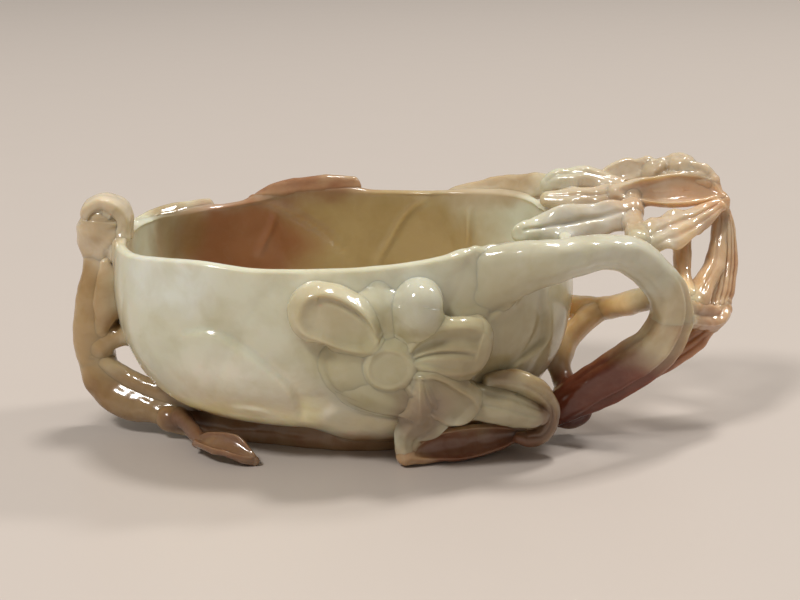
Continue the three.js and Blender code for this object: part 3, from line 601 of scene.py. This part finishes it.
# leaves and buds over the right end
shellLeaf = {
    "path": ((67.6, 8.6, 57), (75.6, 8.6, 57.4), (83.6, 9.2, 57.9), (90.2, 10, 57.2), (94, 9.6, 55.6)),
    "half": (2.2, 3.6, 4.3, 3.6, 1.8), "thick": 3.6, "face": (0.1, -1, 0.5), "cup": 0.25, "hollow": 2.0,
    "rim": 0.7, "rimAt": 0.84, "blend": 2.4, "grid": (84, 130), "wave": (1.5, 0.6, 0), "uneven": 0.6,
    "lumps": 0.12,
}
carve("shell_leaf", "honey_nephrite", shellLeaf)

hangingLeaf = {
    "path": ((92.6, 4.6, 54.6), (87.8, 1.6, 52.8), (82.2, -3, 51.2), (77, -7.4, 50.2), (73.6, -10.6, 48.6)),
    "half": (1.8, 3.3, 4.6, 4.8, 3.2), "thick": 3.4, "face": (0.1, -1, 0.7), "cup": -0.12,
    "creases": ((-0.1, -0.9, 0.13), (0.5, -0.4, 0.12)), "wave": (2.5, 0.9, 0.1), "blend": 2.4,
    "uneven": 0.8, "lumps": 0.15, "grid": (92, 130),
}
carve("hanging_leaf", "honey_nephrite", hangingLeaf)

middleColumn = {
    "path": ((71.6, 8.4, 55.6), (71.4, 4, 52.8), (71, -4, 50.8), (70.6, -12, 49.8)),
    "half": (3.0, 2.7, 2.5, 2.7), "depth": 0.95, "face": (0, 0, 1), "blend": 2.4,
}
carve("middle_column", "honey_nephrite", middleColumn)

topBudLarge = {
    "path": ((78.6, 16.2, 61.4), (82, 15.2, 62.6), (85.8, 13.6, 62.2)), "half": (3.4, 3.7, 3.5),
    "depth": 0.9, "face": (0, -1, 0.6), "blend": 2.4, "lumps": 0.5,
    "ribs": ((60, -0.5, 14, 0, 1), (120, -0.5, 14, 0, 1)), "knots": ((0.45, -0.16, 0.08),), "uneven": 0.8,
}
carve("top_bud_large", "white_nephrite", topBudLarge)

topBudSmall = {
    "path": ((86.6, 12.9, 62), (89.4, 12, 61.4), (91.6, 11.2, 59.6)), "half": (3.0, 2.9, 2.4),
    "depth": 0.95, "face": (0, -1, 0.6), "blend": 2.4, "ribs": ((90, -0.5, 14, 0, 1),), "uneven": 0.7,
    "lumps": 0.5,
}
carve("top_bud_small", "white_nephrite", topBudSmall)

upperLeaf = {
    "path": ((64.4, 18.6, 58.8), (69.8, 19.2, 60.2), (74.2, 18.6, 61.8), (76.4, 17.8, 64)),
    "half": (2.2, 3.0, 3.0, 1.5), "thick": 3.4, "face": (0, -1, 0.6), "cup": 0.15, "hollow": 0.8,
    "blend": 2.6, "uneven": 0.8, "lumps": 0.2,
}
carve("upper_leaf", "white_nephrite", upperLeaf)

rimLeafOver = {
    "path": ((51.4, 18, 57.4), (55, 17.2, 59), (60.4, 16.2, 59.6), (68.4, 14, 58.6)),
    "half": (2.0, 3.0, 3.2, 2.6), "depth": 0.75, "face": (0, -1, 0.7), "blend": 2.0,
    "creases": ((0.2, -0.5, 0.16),), "uneven": 1.0, "lumps": 0.15,
}
carve("rim_leaf_over", "white_nephrite", rimLeafOver)

rimLeafUnder = {
    "path": ((51, 13.2, 55), (56, 12, 55), (62.3, 10.4, 55.4), (69, 8.8, 56)), "half": (1.9, 3.1, 3.4, 2.9),
    "depth": 0.75, "face": (0, -1, 0.7), "blend": 2.0, "creases": ((0.1, -0.5, 0.16),), "uneven": 1.0,
    "lumps": 0.15,
}
carve("rim_leaf_under", "honey_nephrite", rimLeafUnder)

rimLeafBack = {
    "path": ((27.4, 41, 51.2), (35.6, 38.4, 53), (42, 35.8, 54.2), (48.6, 31, 55), (55.4, 24.6, 56)),
    "half": (1.2, 2.3, 2.9, 3.5, 3.3), "depth": 0.7, "face": (0.3, -1, 0.5), "blend": 3.4,
    "grid": (64, 140), "uneven": 0.6,
}
carve("rim_leaf_back", "honey_nephrite", rimLeafBack)

rimLeafInner = {
    "path": ((43.2, -3.6, 49.4), (48.2, -2.4, 50.4), (55.6, -0.6, 51.2), (63.6, 1.6, 52.2),
             (71.2, 3.4, 53.4)),
    "half": (2.2, 3.4, 4.4, 4.3, 3.2), "thick": 4.4, "face": (0.1, -1, 0.5), "blend": 2.4, "cup": 0.1,
    "creases": ((0.05, -1.0, 0.15),), "grid": (84, 140), "wave": (2.5, 0.8, 0.3), "uneven": 0.9,
    "lumps": 0.12,
}
carve("rim_leaf_inner", "white_nephrite", rimLeafInner)

rearLip = {
    "path": ((-24.9, 39.4, 50.2), (-19.8, 40.6, 51.9), (-13.6, 41.8, 53), (-5.6, 42.6, 53.5),
             (1.1, 42.6, 53.8)),
    "half": (1.2, 2.1, 2.4, 2.4, 1.8), "face": (0, -1, 0.3), "blend": 3.6, "grid": (56, 120),
}
carve("rear_lip", "russet_nephrite", rearLip)

rearLeftLip = {
    "path": ((-53.7, 12.9, 48.7), (-50.3, 21.5, 48.7), (-44.6, 29.7, 49.2), (-37.3, 36.1, 49.7)),
    "half": (1.3, 1.7, 1.7, 1.0), "depth": 0.9, "face": (0.6, -0.8, 0.4), "blend": 2.6, "grid": (56, 120),
}
carve("rear_left_lip", "honey_nephrite", rearLeftLip)
print("stage: cluster and rim carved")

# the bud stem at the left
leftBud = {
    "path": ((-60.0, -1, 42.6), (-59.6, -1, 46.8), (-58.8, -1.4, 50.6), (-58.6, -1.6, 53.6)),
    "half": (4.4, 5.8, 6.8, 5.9), "depth": 0.92, "face": (0, -1, 0.2), "blend": 4.0, "cap": 0.2,
    "ends": (0.5, 0.75), "grid": (72, 120), "uneven": 0.6, "lumps": 0.12,
}
carve("left_bud", "honey_nephrite", leftBud)

leftBudCap = {
    "path": ((-63.2, -3.4, 52.4), (-61.6, -3.2, 55.2), (-58.4, -2.4, 56.6), (-55.2, -2.2, 55.2),
             (-53.5, -3, 52), (-54.5, -4, 48.8), (-56.2, -5, 45)),
    "half": (1.2, 2.3, 2.8, 2.8, 2.3, 2.0, 1.7), "depth": (1.3, 2.1, 2.4, 2.4, 2.0, 1.5, 1.2),
    "face": (0, -1, 0.1), "blend": 4.0, "grid": (64, 140), "uneven": 0.6, "lumps": 0.12,
    "ribs": ((60, 0.35, 22, 0, 1), (110, -0.4, 16, 0, 1)),
}
carve("left_bud_cap", "white_nephrite", leftBudCap)

leftStem = {
    "path": ((-59.9, -2, 43), (-60.4, -3, 36.5), (-61.4, -3, 29.8), (-61.9, -3, 23.1), (-61.6, -3, 17),
             (-59.6, -4.4, 11.6), (-54.8, -6.6, 8.2), (-48, -9.4, 6.7), (-41.4, -12, 5.8)),
    "half": (4.2, 4.8, 5.4, 5.3, 4.9, 4.6, 4.3, 3.7, 2.8), "face": (0, -1, 0.12), "blend": 3.0,
    "grid": (72, 130), "ends": (0.5, 0.8), "uneven": 0.5, "chain": "leftStem", "cap": 0.07,
}
carve("left_stem_upper", "honey_nephrite", leftStem, (0, 0.54))
carve("left_stem_lower", "honey_nephrite", leftStem, (0.46, 1))

leftStemBud = {
    "path": ((-57.9, -6.6, 42.6), (-57.4, -7.4, 37), (-57.9, -7.4, 31.4), (-59.4, -7, 25.8)),
    "half": (1.4, 3.1, 3.3, 1.4), "depth": 0.7, "face": (0.1, -1, 0), "power": 2.0,
}
carve("left_stem_bud", "honey_nephrite", leftStemBud)

leftBridge = {
    "path": ((-60.1, -5.2, 21.4), (-57.3, -5.2, 23.3), (-53.1, -5.2, 24.6)), "half": (2.8, 2.7, 2.8),
    "depth": 0.95, "face": (0, -1, 0), "blend": 2.2,
}
carve("left_bridge", "honey_nephrite", leftBridge)

leftStemStrand = {
    "path": ((-59.4, -5.2, 17.3), (-53.7, -6.2, 13.8), (-46.1, -9.2, 11.2), (-38, -11.4, 7.7)),
    "half": (2.1, 2.3, 2.3, 1.9), "depth": 0.95, "face": (0, -1, 0.2),
}
carve("left_stem_strand", "honey_nephrite", leftStemStrand)

leftFootStalk = {
    "path": ((-40.4, -13.5, 6.2), (-36.8, -19.4, 4.8), (-33.4, -25.2, 3.4)), "half": (2.0, 1.9, 1.7),
    "depth": 0.95, "face": (0, 0, 1), "blend": 2.2,
}
carve("left_foot_stalk", "russet_nephrite", leftFootStalk)

leftFootLeaf = {
    "path": ((-34.2, -24.9, 2.6), (-30.6, -28.6, 4.2), (-26.6, -30.8, 3.9), (-23.1, -32.3, 2.6),
             (-20.2, -32.8, 1.2)),
    "half": (1.5, 2.8, 3.2, 2.4, 1.1), "thick": 3.0, "face": (0, -0.7, 1), "cup": 0.2, "hollow": 0.9,
    "rim": 0.4, "wave": (1.5, 0.5, 0.2), "grid": (72, 120),
}
carve("left_foot_leaf", "russet_nephrite", leftFootLeaf)
print("stage: left stem carved")

# stems and leaves under the bowl
frontStem = {
    "path": ((25.5, -36.0, 18.4), (31.0, -36.4, 16.9), (38, -34.4, 14.7), (44, -31, 12),
             (46.6, -29.6, 11.2)),
    "half": (2.6, 4.0, 4.1, 3.3, 2.3), "depth": 0.85, "face": (0.5, -0.9, 0.4), "blend": 2.0,
    "creases": ((0.4, -0.4, 0.14), (-0.2, -0.3, 0.14)), "grid": (76, 120),
}
carve("front_stem", "white_nephrite", frontStem)

sepal = {
    "path": ((34.2, -34.8, 21.5), (38.4, -34, 21.6), (42.8, -32.2, 20.1), (46.8, -29.8, 16.8),
             (49.4, -27.8, 12.8), (49.4, -26.5, 8.8), (47.4, -25.7, 5.4), (44.2, -25.5, 4.3),
             (42.2, -25.9, 4.6)),
    "half": (1.3, 2.2, 2.7, 2.4, 1.9, 2.0, 2.2, 2.1, 1.5), "depth": 1.15, "face": (0.3, -1, 0.2),
    "grid": (64, 150), "creases": ((-0.3, -0.4, 0.16),),
}
carve("sepal", "russet_nephrite", sepal)

frontFootLeaf = {
    "path": ((18.4, -44, 24.4), (18.9, -43, 19), (19.4, -39.8, 13.6), (16.0, -36, 8.4), (15.4, -32.6, 2.4)),
    "half": (0.9, 2.9, 5.6, 3.6, 2.4), "thick": 3.2, "face": (0.1, -1, 0.1), "cup": -0.12,
    "creases": ((0.45, -0.5, 0.14), (-0.3, 0.4, 0.2)), "blend": 2.4, "grid": (80, 130),
}
carve("front_foot_leaf", "white_nephrite", frontFootLeaf)

frontFootEdge = {
    "path": ((15.2, -33, 2.6), (20.9, -30.4, 3.6), (28.3, -28, 4), (35.6, -25, 4.2), (42.4, -21.4, 4.4)),
    "half": (2.4, 3.6, 4.0, 3.4, 2.0), "thick": 4.6, "face": (0.2, -1, 0.25), "cup": 0.2, "hollow": 2.2,
    "rim": 0.6, "rimAt": 0.84, "blend": 1.6, "grid": (80, 120),
}
carve("front_foot_edge", "russet_nephrite", frontFootEdge)

baseBranch = {
    "path": ((-42.9, -12, 5.2), (-33, -12, 3.0), (-20, -13.4, 2.0), (0, -18.5, 1.5), (17, -17.1, 1.7),
             (33.9, -14.6, 2.8), (44, -13, 4.6), (52, -12, 6.6)),
    "half": (3.3, 3.5, 3.6, 3.8, 3.9, 3.5, 3.4, 3.3), "depth": 1.0, "face": (0, 0, 1), "blend": 2.2,
    "grid": (64, 150), "cap": 0.05,
}
carve("base_branch", "russet_nephrite", baseBranch)

rearFootLeaf = {
    "path": ((-16.9, 24.1, 2.5), (-6.8, 26.7, 1.8), (4.5, 27.5, 1.8), (15.8, 24.9, 2.5)),
    "half": (2.6, 4.8, 4.8, 2.2), "thick": 3.6, "face": (0, 0.4, 1), "blend": 1.4,
    "creases": ((0, -0.5, 0.14),),
}
carve("rear_foot_leaf", "russet_nephrite", rearFootLeaf)
print("stage: foot carved")


# joints between members are hollowed, as in one piece of stone
joint = {"reach": 0.28, "steps": 12, "across": 1.3, "diveAt": 0.5, "evening": 5,
         "facingFrom": 0.9, "facingOver": 0.5, "least": 0.02, "touching": 1e-7}


def blended(near, far, reach):
    # distance to two surfaces joined by a hollow of this reach
    share = np.maximum(reach - np.abs(near - far), 0) / reach
    return np.minimum(near, far) - share * share * reach / 4


def evened(mesh, values):
    # each value drawn towards the mean of its neighbours, a few times over
    ends = np.empty(len(mesh.edges) * 2, dtype=np.int32)
    mesh.edges.foreach_get("vertices", ends)
    one, two = ends[::2], ends[1::2]
    count = np.bincount(ends, minlength=len(values))
    for turn in range(joint["evening"]):
        total = np.bincount(one, values[two], len(values)) + np.bincount(two, values[one], len(values))
        values = 0.5 * values + 0.5 * total / np.maximum(count, 1)
    return values


def readShape(mesh):
    places, normals = np.empty(len(mesh.vertices) * 3), np.empty(len(mesh.vertices) * 3)
    mesh.vertices.foreach_get("co", places)
    mesh.vertices.foreach_get("normal", normals)
    places = places.reshape(-1, 3)
    faces = [tuple(face.vertices) for face in mesh.polygons]
    tree = BVHTree.FromPolygons([tuple(place) for place in places], faces)
    return places, normals.reshape(-1, 3), tree


def jointRows(places, normals, other, widest):
    # for each vertex near the other member: its index, its gap, the gap's slope and the joint's reach
    theirs, unused, tree = other
    low, high = theirs.min(0) - widest, theirs.max(0) + widest
    rows = []
    for index in np.nonzero(np.all((places > low) & (places < high), axis=1))[0]:
        hit, face, unusedIndex, away = tree.find_nearest(Vector(places[index]), widest)
        if away is None or away < joint["touching"]:
            continue
        toward = (np.array(hit) - places[index]) / away
        outside = 1.0 if np.dot(toward, np.array(face)) < 0 else -1.0
        ahead = outside * np.dot(toward, normals[index])
        facing = min(1, max(0, (ahead + joint["facingFrom"]) / joint["facingOver"])) if outside > 0 else 1.0
        across = min(1, joint["across"] * (1 - np.dot(np.array(face), normals[index])))
        if facing * across > joint["least"]:
            rows.append((index, outside * away, -ahead, widest * facing * across))
    return rows


def addSwell(swell, rows):
    # the way out to the hollowed joint is found by halving
    index, gap, slope, reach = (np.array(column) for column in zip(*rows))
    least, most = np.zeros(len(index)), joint["reach"] * reach
    for step in range(joint["steps"]):
        middle = (least + most) / 2
        under = blended(middle, gap + slope * middle, reach) < 0
        least, most = np.where(under, middle, least), np.where(under, most, middle)
    dive = np.clip(1 + gap / (joint["diveAt"] * reach), 0, 1)
    swell[index] = np.maximum(swell[index], most * dive)


def softenJoints():
    # near another member each surface moves out to where the hollowed joint would lie
    shapes = {node: readShape(entry["piece"].data) for node, entry in carved.items()}
    for node, (places, normals, unused) in shapes.items():
        entry = carved[node]
        mesh = entry["piece"].data
        swell = np.zeros(len(places))
        for other, shape in shapes.items():
            sameChain = entry["chain"] and entry["chain"] == carved[other]["chain"]
            if other == node or sameChain:
                continue
            widest = min(entry["blend"], carved[other]["blend"]) * mm
            rows = jointRows(places, normals, shape, widest)
            if rows:
                addSwell(swell, rows)
        moved = places + normals * evened(mesh, swell)[:, None]
        moved[:, 2] = np.maximum(moved[:, 2], 0.0)
        mesh.vertices.foreach_set("co", moved.ravel())
        mesh.update()


softenJoints()
print("stage: joints softened")


# nephrite, polished by hand

def linear(colour):
    values = [int(colour[place:place + 2], 16) / 255 for place in (1, 3, 5)]
    return [value / 12.92 if value <= 0.04045 else ((value + 0.055) / 1.055) ** 2.4
            for value in values] + [1.0]


def addNode(material, kind, settings=None, links=None):
    # one node with its settings, and links given as {socket: output}
    node = material.node_tree.nodes.new(kind)
    for name, value in (settings or {}).items():
        if isinstance(name, int) or name in node.inputs:
            node.inputs[name].default_value = value
        else:
            setattr(node, name, value)
    for name, output in (links or {}).items():
        material.node_tree.links.new(output, node.inputs[name])
    return node


def mixed(material, base, colour, factor, way="MIX"):
    # sockets 6 and 7 of the mix node hold its two colours, and 0 the share of the second
    settings = {"data_type": "RGBA", "blend_type": way, 7: colour}
    links = {0: factor}
    if isinstance(base, bpy.types.NodeSocket):
        links[6] = base
    else:
        settings[6] = base
    return addNode(material, "ShaderNodeMix", settings, links).outputs[2]


# stains in the stone, and a few marks of painted light and shade: centre and radii in mm from the bowl's
# middle, colour and strength
stainsAndPaintedLight = (
    ((43, -33, 31), (32, 22, 34), "#a39570", 0.8),
    # olive tone over the blossom, partly painted shade where the blossom is lit less
    ((10, -44, 27), (30, 9, 24), "#b1a781", 0.75),
    # painted highlight: the round top petal is made paler and whiter where the light catches it
    ((18, -46, 44), (12, 10, 10), "#bdbba9", 0.8),
    ((8, 38, 34), (68, 15, 30), "#aa8c56", 0.9),
    ((-30, 34, 39), (30, 15, 18), "#935c3a", 0.95),
    ((-13, 42, 53), (26, 8, 8), "#8a5a3a", 0.8),
    ((-46, 26, 42), (13, 14, 14), "#8f6c40", 0.7),
    ((16, -20, 0), (44, 30, 8), "#b48e62", 0.8),
    ((0, 27, 0), (36, 14, 8), "#7d5b42", 0.85),
    # painted light: the lower left of the front wall faces down, away from the lamps, and is made paler
    # here
    ((-24, -38, 16), (30, 16, 17), "#e2e0d0", 0.9),
    ((-38, -33, 46), (22, 14, 11), "#d9dcd4", 0.75),
    # brown of the base branch under the bowl, darkened in part as painted shade to sit in with the shadow
    # there
    ((-8, -18, 1), (44, 18, 6), "#a07e5c", 0.9),
    ((29, -42, 22), (16, 12, 15), "#928160", 0.8),
    ((-5, -46, 40), (13, 9, 12), "#c4b898", 0.8),
    # pale amber over the rear limbs, partly painted light: they lie in shade behind the handle and are made
    # lighter, as if lit through the stone
    ((62, 2, 25), (30, 24, 24), "#e6cb9a", 0.95),
    ((80, 8, 54), (40, 30, 22), "#c6b49c", 0.95),
    ((42, 35, 54), (26, 16, 8), "#b9a486", 0.8),
    ((56, 1, 52), (17, 10, 7), "#cdc8bc", 0.8),
    ((72, 8, 55), (10, 12, 6), "#b8906a", 0.6),
    ((90, 9, 56), (14, 10, 7), "#cfaa88", 0.8),
    ((80, -6, 50), (10, 8, 7), "#c6b5a0", 0.7),
    ((84, -1, 42), (8, 16, 13), "#f0d4a8", 0.95),
    ((88, -10, 30), (13, 11, 7), "#a87f60", 0.8),
    ((92, 0, 36), (14, 18, 24), "#c4a482", 0.9),
    ((80, -7, 17), (24, 8, 14), "#a8683c", 0.8),
    ((70, -29, 50), (42, 24, 24), "#cac7b4", 1.0),
    ((79, -18, 34), (12, 11, 13), "#c2b08e", 0.8),
    ((66, -15, 12), (30, 13, 20), "#78402a", 1.0),
    ((-64, -3, 28), (16, 18, 40), "#aa8d62", 0.95),
    ((-58, -2, 53), (15, 15, 15), "#d2c2a8", 0.9),
    ((-50, -9, 7), (24, 16, 12), "#8f7048", 0.85),
    ((-37, -19, 5), (9, 10, 7), "#6e4f3a", 0.9),
    ((-29, -29, 2), (20, 13, 9), "#805e44", 0.95),
    ((45, -27, 10), (13, 10, 14), "#74553f", 0.9),
    ((37, -39, 16), (14, 8, 9), "#aaa084", 0.9),
    ((19, -42, 14), (11, 9, 14), "#94806b", 0.85),
    ((29, -29, 3), (22, 9, 7), "#9c7560", 0.95),
    ((57, -10, 5), (9, 8, 8), "#5a2418", 0.95),
)

# real sizes as noise scales per metre: drift 14 mm, clouds 10 mm, waves 4 mm and fibres 2 mm across
grain = {"drift": 70.0, "driftBy": 0.012, "stainEdge": 0.55, "waves": 240.0, "waveStrength": 0.35,
         "waveHeight": 0.12, "smoother": 0.05, "rougher": 0.07,
         "clouds": {"Scale": 95.0, "Detail": 4.0, "Roughness": 0.55}, "cloudSpan": (0.42, 0.72),
         "fibres": {"Scale": 520.0, "Detail": 3.0, "Roughness": 0.6}, "fibreSpan": (0.5, 0.75)}


def freshMaterial(name):
    material = bpy.data.materials.new(name)
    material.use_nodes = True
    material.node_tree.nodes.clear()
    return material, addNode(material, "ShaderNodeTexCoord").outputs["Object"]


def noiseShare(material, place, settings, span, most):
    # a noise, and how much of a colour it lays on: none below the span, the most above it
    value = addNode(material, "ShaderNodeTexNoise", settings, {"Vector": place}).outputs["Fac"]
    share = addNode(material, "ShaderNodeMapRange",
                    {"From Min": span[0], "From Max": span[1], "To Max": most}, {"Value": value})
    return value, share.outputs[0]


def withStainsAndPaintedLight(material, place, colour):
    # an ellipsoid runs on from member to member, as a stain does in one stone; the marks of painted light
    # and shade are laid on the same way
    for centre, radii, stainAndPaintedLight, strength in stainsAndPaintedLight:
        placed = addNode(material, "ShaderNodeMapping", {"vector_type": "TEXTURE"}, {"Vector": place})
        placed.inputs["Location"].default_value = (np.array(centre) + cupShift) * mm
        placed.inputs["Scale"].default_value = np.array(radii) * mm
        ball = addNode(material, "ShaderNodeTexGradient", {"gradient_type": "SPHERICAL"},
                       {"Vector": placed.outputs[0]})
        settings = {"From Min": 0.0, "From Max": grain["stainEdge"], "To Max": strength,
                    "interpolation_type": "SMOOTHSTEP"}
        amount = addNode(material, "ShaderNodeMapRange", settings, {"Value": ball.outputs["Fac"]})
        colour = mixed(material, colour, linear(stainAndPaintedLight), amount.outputs[0])
    return colour


def polishedNephrite(name, values):
    # hand-polished nephrite: a waxy gloss over clouded, slightly see-in stone
    material, coordinate = freshMaterial(name)
    drift = addNode(material, "ShaderNodeTexNoise", {"Scale": grain["drift"], "Detail": 3.0},
                    {"Vector": coordinate})
    most = grain["driftBy"]
    offset = addNode(material, "ShaderNodeVectorMath",
                     {"operation": "MULTIPLY_ADD", 1: (most,) * 3, 2: (-most / 2,) * 3},
                     {0: drift.outputs["Color"]})
    warped = addNode(material, "ShaderNodeVectorMath", {"operation": "ADD"},
                     {0: coordinate, 1: offset.outputs[0]}).outputs[0]
    colour = withStainsAndPaintedLight(material, warped, linear(values["colour"]))
    # soft clouds a centimetre across darken it, then fine pale fibres lie over them
    clouds, share = noiseShare(material, warped, grain["clouds"], grain["cloudSpan"], values["cloud"])
    colour = mixed(material, colour, linear(values["cloudTint"]), share, "MULTIPLY")
    fibres, share = noiseShare(material, warped, grain["fibres"], grain["fibreSpan"], values["fibre"])
    colour = mixed(material, colour, linear(values["fibreTint"]), share, "SCREEN")
    rough = addNode(material, "ShaderNodeMapRange",
                    {"From Min": 0.3, "From Max": 0.7, "To Min": values["rough"] - grain["smoother"],
                     "To Max": values["rough"] + grain["rougher"]}, {"Value": clouds})
    # polishing leaves the face very slightly wavy
    waves = addNode(material, "ShaderNodeTexNoise", {"Scale": grain["waves"], "Detail": 2.0},
                    {"Vector": coordinate})
    bumped = addNode(material, "ShaderNodeBump",
                     {"Strength": grain["waveStrength"], "Distance": grain["waveHeight"] * mm},
                     {"Height": waves.outputs["Fac"]})
    shader = addNode(material, "ShaderNodeBsdfPrincipled",
                     {"IOR": 1.61, "Subsurface Weight": values["glow"],
                      "Subsurface Radius": (1.0, 0.75, 0.45), "Subsurface Scale": values["depth"] * mm},
                     {"Base Color": colour, "Roughness": rough.outputs[0], "Normal": bumped.outputs[0]})
    addNode(material, "ShaderNodeOutputMaterial", None, {"Surface": shader.outputs[0]})
    return material


# depth is how many mm the light wanders in the stone, glow how much of it does
whiteStone = {"colour": "#d0cfba", "cloud": 0.55, "cloudTint": "#dcd3b8", "fibre": 0.3,
              "fibreTint": "#3a3a34", "rough": 0.13, "glow": 0.6, "depth": 3}
honeyStone = {"colour": "#cbc6ab", "cloud": 0.7, "cloudTint": "#d8c4a0", "fibre": 0.4,
              "fibreTint": "#40392c", "rough": 0.12, "glow": 0.7, "depth": 4}
russetStone = {"colour": "#c2b597", "cloud": 0.8, "cloudTint": "#d0a888", "fibre": 0.4,
               "fibreTint": "#40302a", "rough": 0.12, "glow": 0.65, "depth": 4}
stones = {"white_nephrite": polishedNephrite("handPolishedWhiteNephrite", whiteStone),
          "honey_nephrite": polishedNephrite("handPolishedHoneyNephrite", honeyStone),
          "russet_nephrite": polishedNephrite("handPolishedRussetNephrite", russetStone)}
for entry in carved.values():
    entry["piece"].data.materials.append(stones[entry["stone"]])
print("stage: stone materials made")


# floor, light and camera
stageSet = {"size": 6.0, "floorColour": "#bfb5ad", "floorRough": 0.4, "speck": 40.0, "speckRough": 0.03,
            "roomColour": "#e8e2da", "room": 0.38}


def plainPaint(name, colour, rough):
    material, coordinate = freshMaterial(name)
    speck = addNode(material, "ShaderNodeTexNoise", {"Scale": stageSet["speck"], "Detail": 3.0},
                    {"Vector": coordinate})
    less, more = rough - stageSet["speckRough"], rough + stageSet["speckRough"]
    rougher = addNode(material, "ShaderNodeMapRange", {"To Min": less, "To Max": more},
                      {"Value": speck.outputs["Fac"]})
    shader = addNode(material, "ShaderNodeBsdfPrincipled", {"Base Color": linear(colour)},
                     {"Roughness": rougher.outputs[0]})
    addNode(material, "ShaderNodeOutputMaterial", None, {"Surface": shader.outputs[0]})
    return material


def aimed(thing, place, aim):
    thing.rotation_euler = (Vector(aim) - Vector(place)).to_track_quat("-Z", "Y").to_euler()


bpy.ops.object.select_all(action="DESELECT")
bpy.ops.mesh.primitive_plane_add(size=stageSet["size"], location=(0, 0, 0))
floor = bpy.context.active_object
floor.name = "stage_floor"
floor.data.materials.append(plainPaint("paleSatinTable", stageSet["floorColour"], stageSet["floorRough"]))

lamps = {
    "key": {"at": (-1.2, -1.4, 2.2), "aim": (0, 0.1, 0.03), "size": 0.5, "power": 46.0,
            "colour": (1, 0.98, 0.95)},
    "overhead": {"at": (0.4, 0.5, 2.6), "aim": (0, 0.2, 0.03), "size": 0.42, "power": 34.0,
                 "colour": (1, 0.98, 0.95)},
    "rearRight": {"at": (1.9, 1.0, 1.9), "aim": (0.02, 0, 0.03), "size": 0.35, "power": 27.0,
                  "colour": (1, 0.97, 0.93)},
}
for name, lamp in lamps.items():
    bpy.ops.object.light_add(type="AREA", location=lamp["at"])
    light = bpy.context.active_object
    light.name = "lamp_" + name
    light.data.size = lamp["size"]
    light.data.energy = lamp["power"]
    light.data.color = lamp["colour"]
    aimed(light, lamp["at"], lamp["aim"])

world = bpy.data.worlds.new("softRoom")
bpy.context.scene.world = world
world.use_nodes = True
room = world.node_tree.nodes["Background"]
room.inputs["Color"].default_value = linear(stageSet["roomColour"])
room.inputs["Strength"].default_value = stageSet["room"]

view = {"target": (-0.001914, 0.003535, 0.0319), "eye": (-0.001914, -0.413693, 0.135926), "lens": 77.8}
bpy.ops.object.camera_add(location=view["eye"])
camera = bpy.context.active_object
camera.name = "photo_camera"
aimed(camera, view["eye"], view["target"])
camera.data.lens = view["lens"]
camera.data.sensor_width = 36
bpy.context.scene.camera = camera
bpy.context.scene.view_settings.view_transform = "Standard"
print("stage: floor, light and camera set")
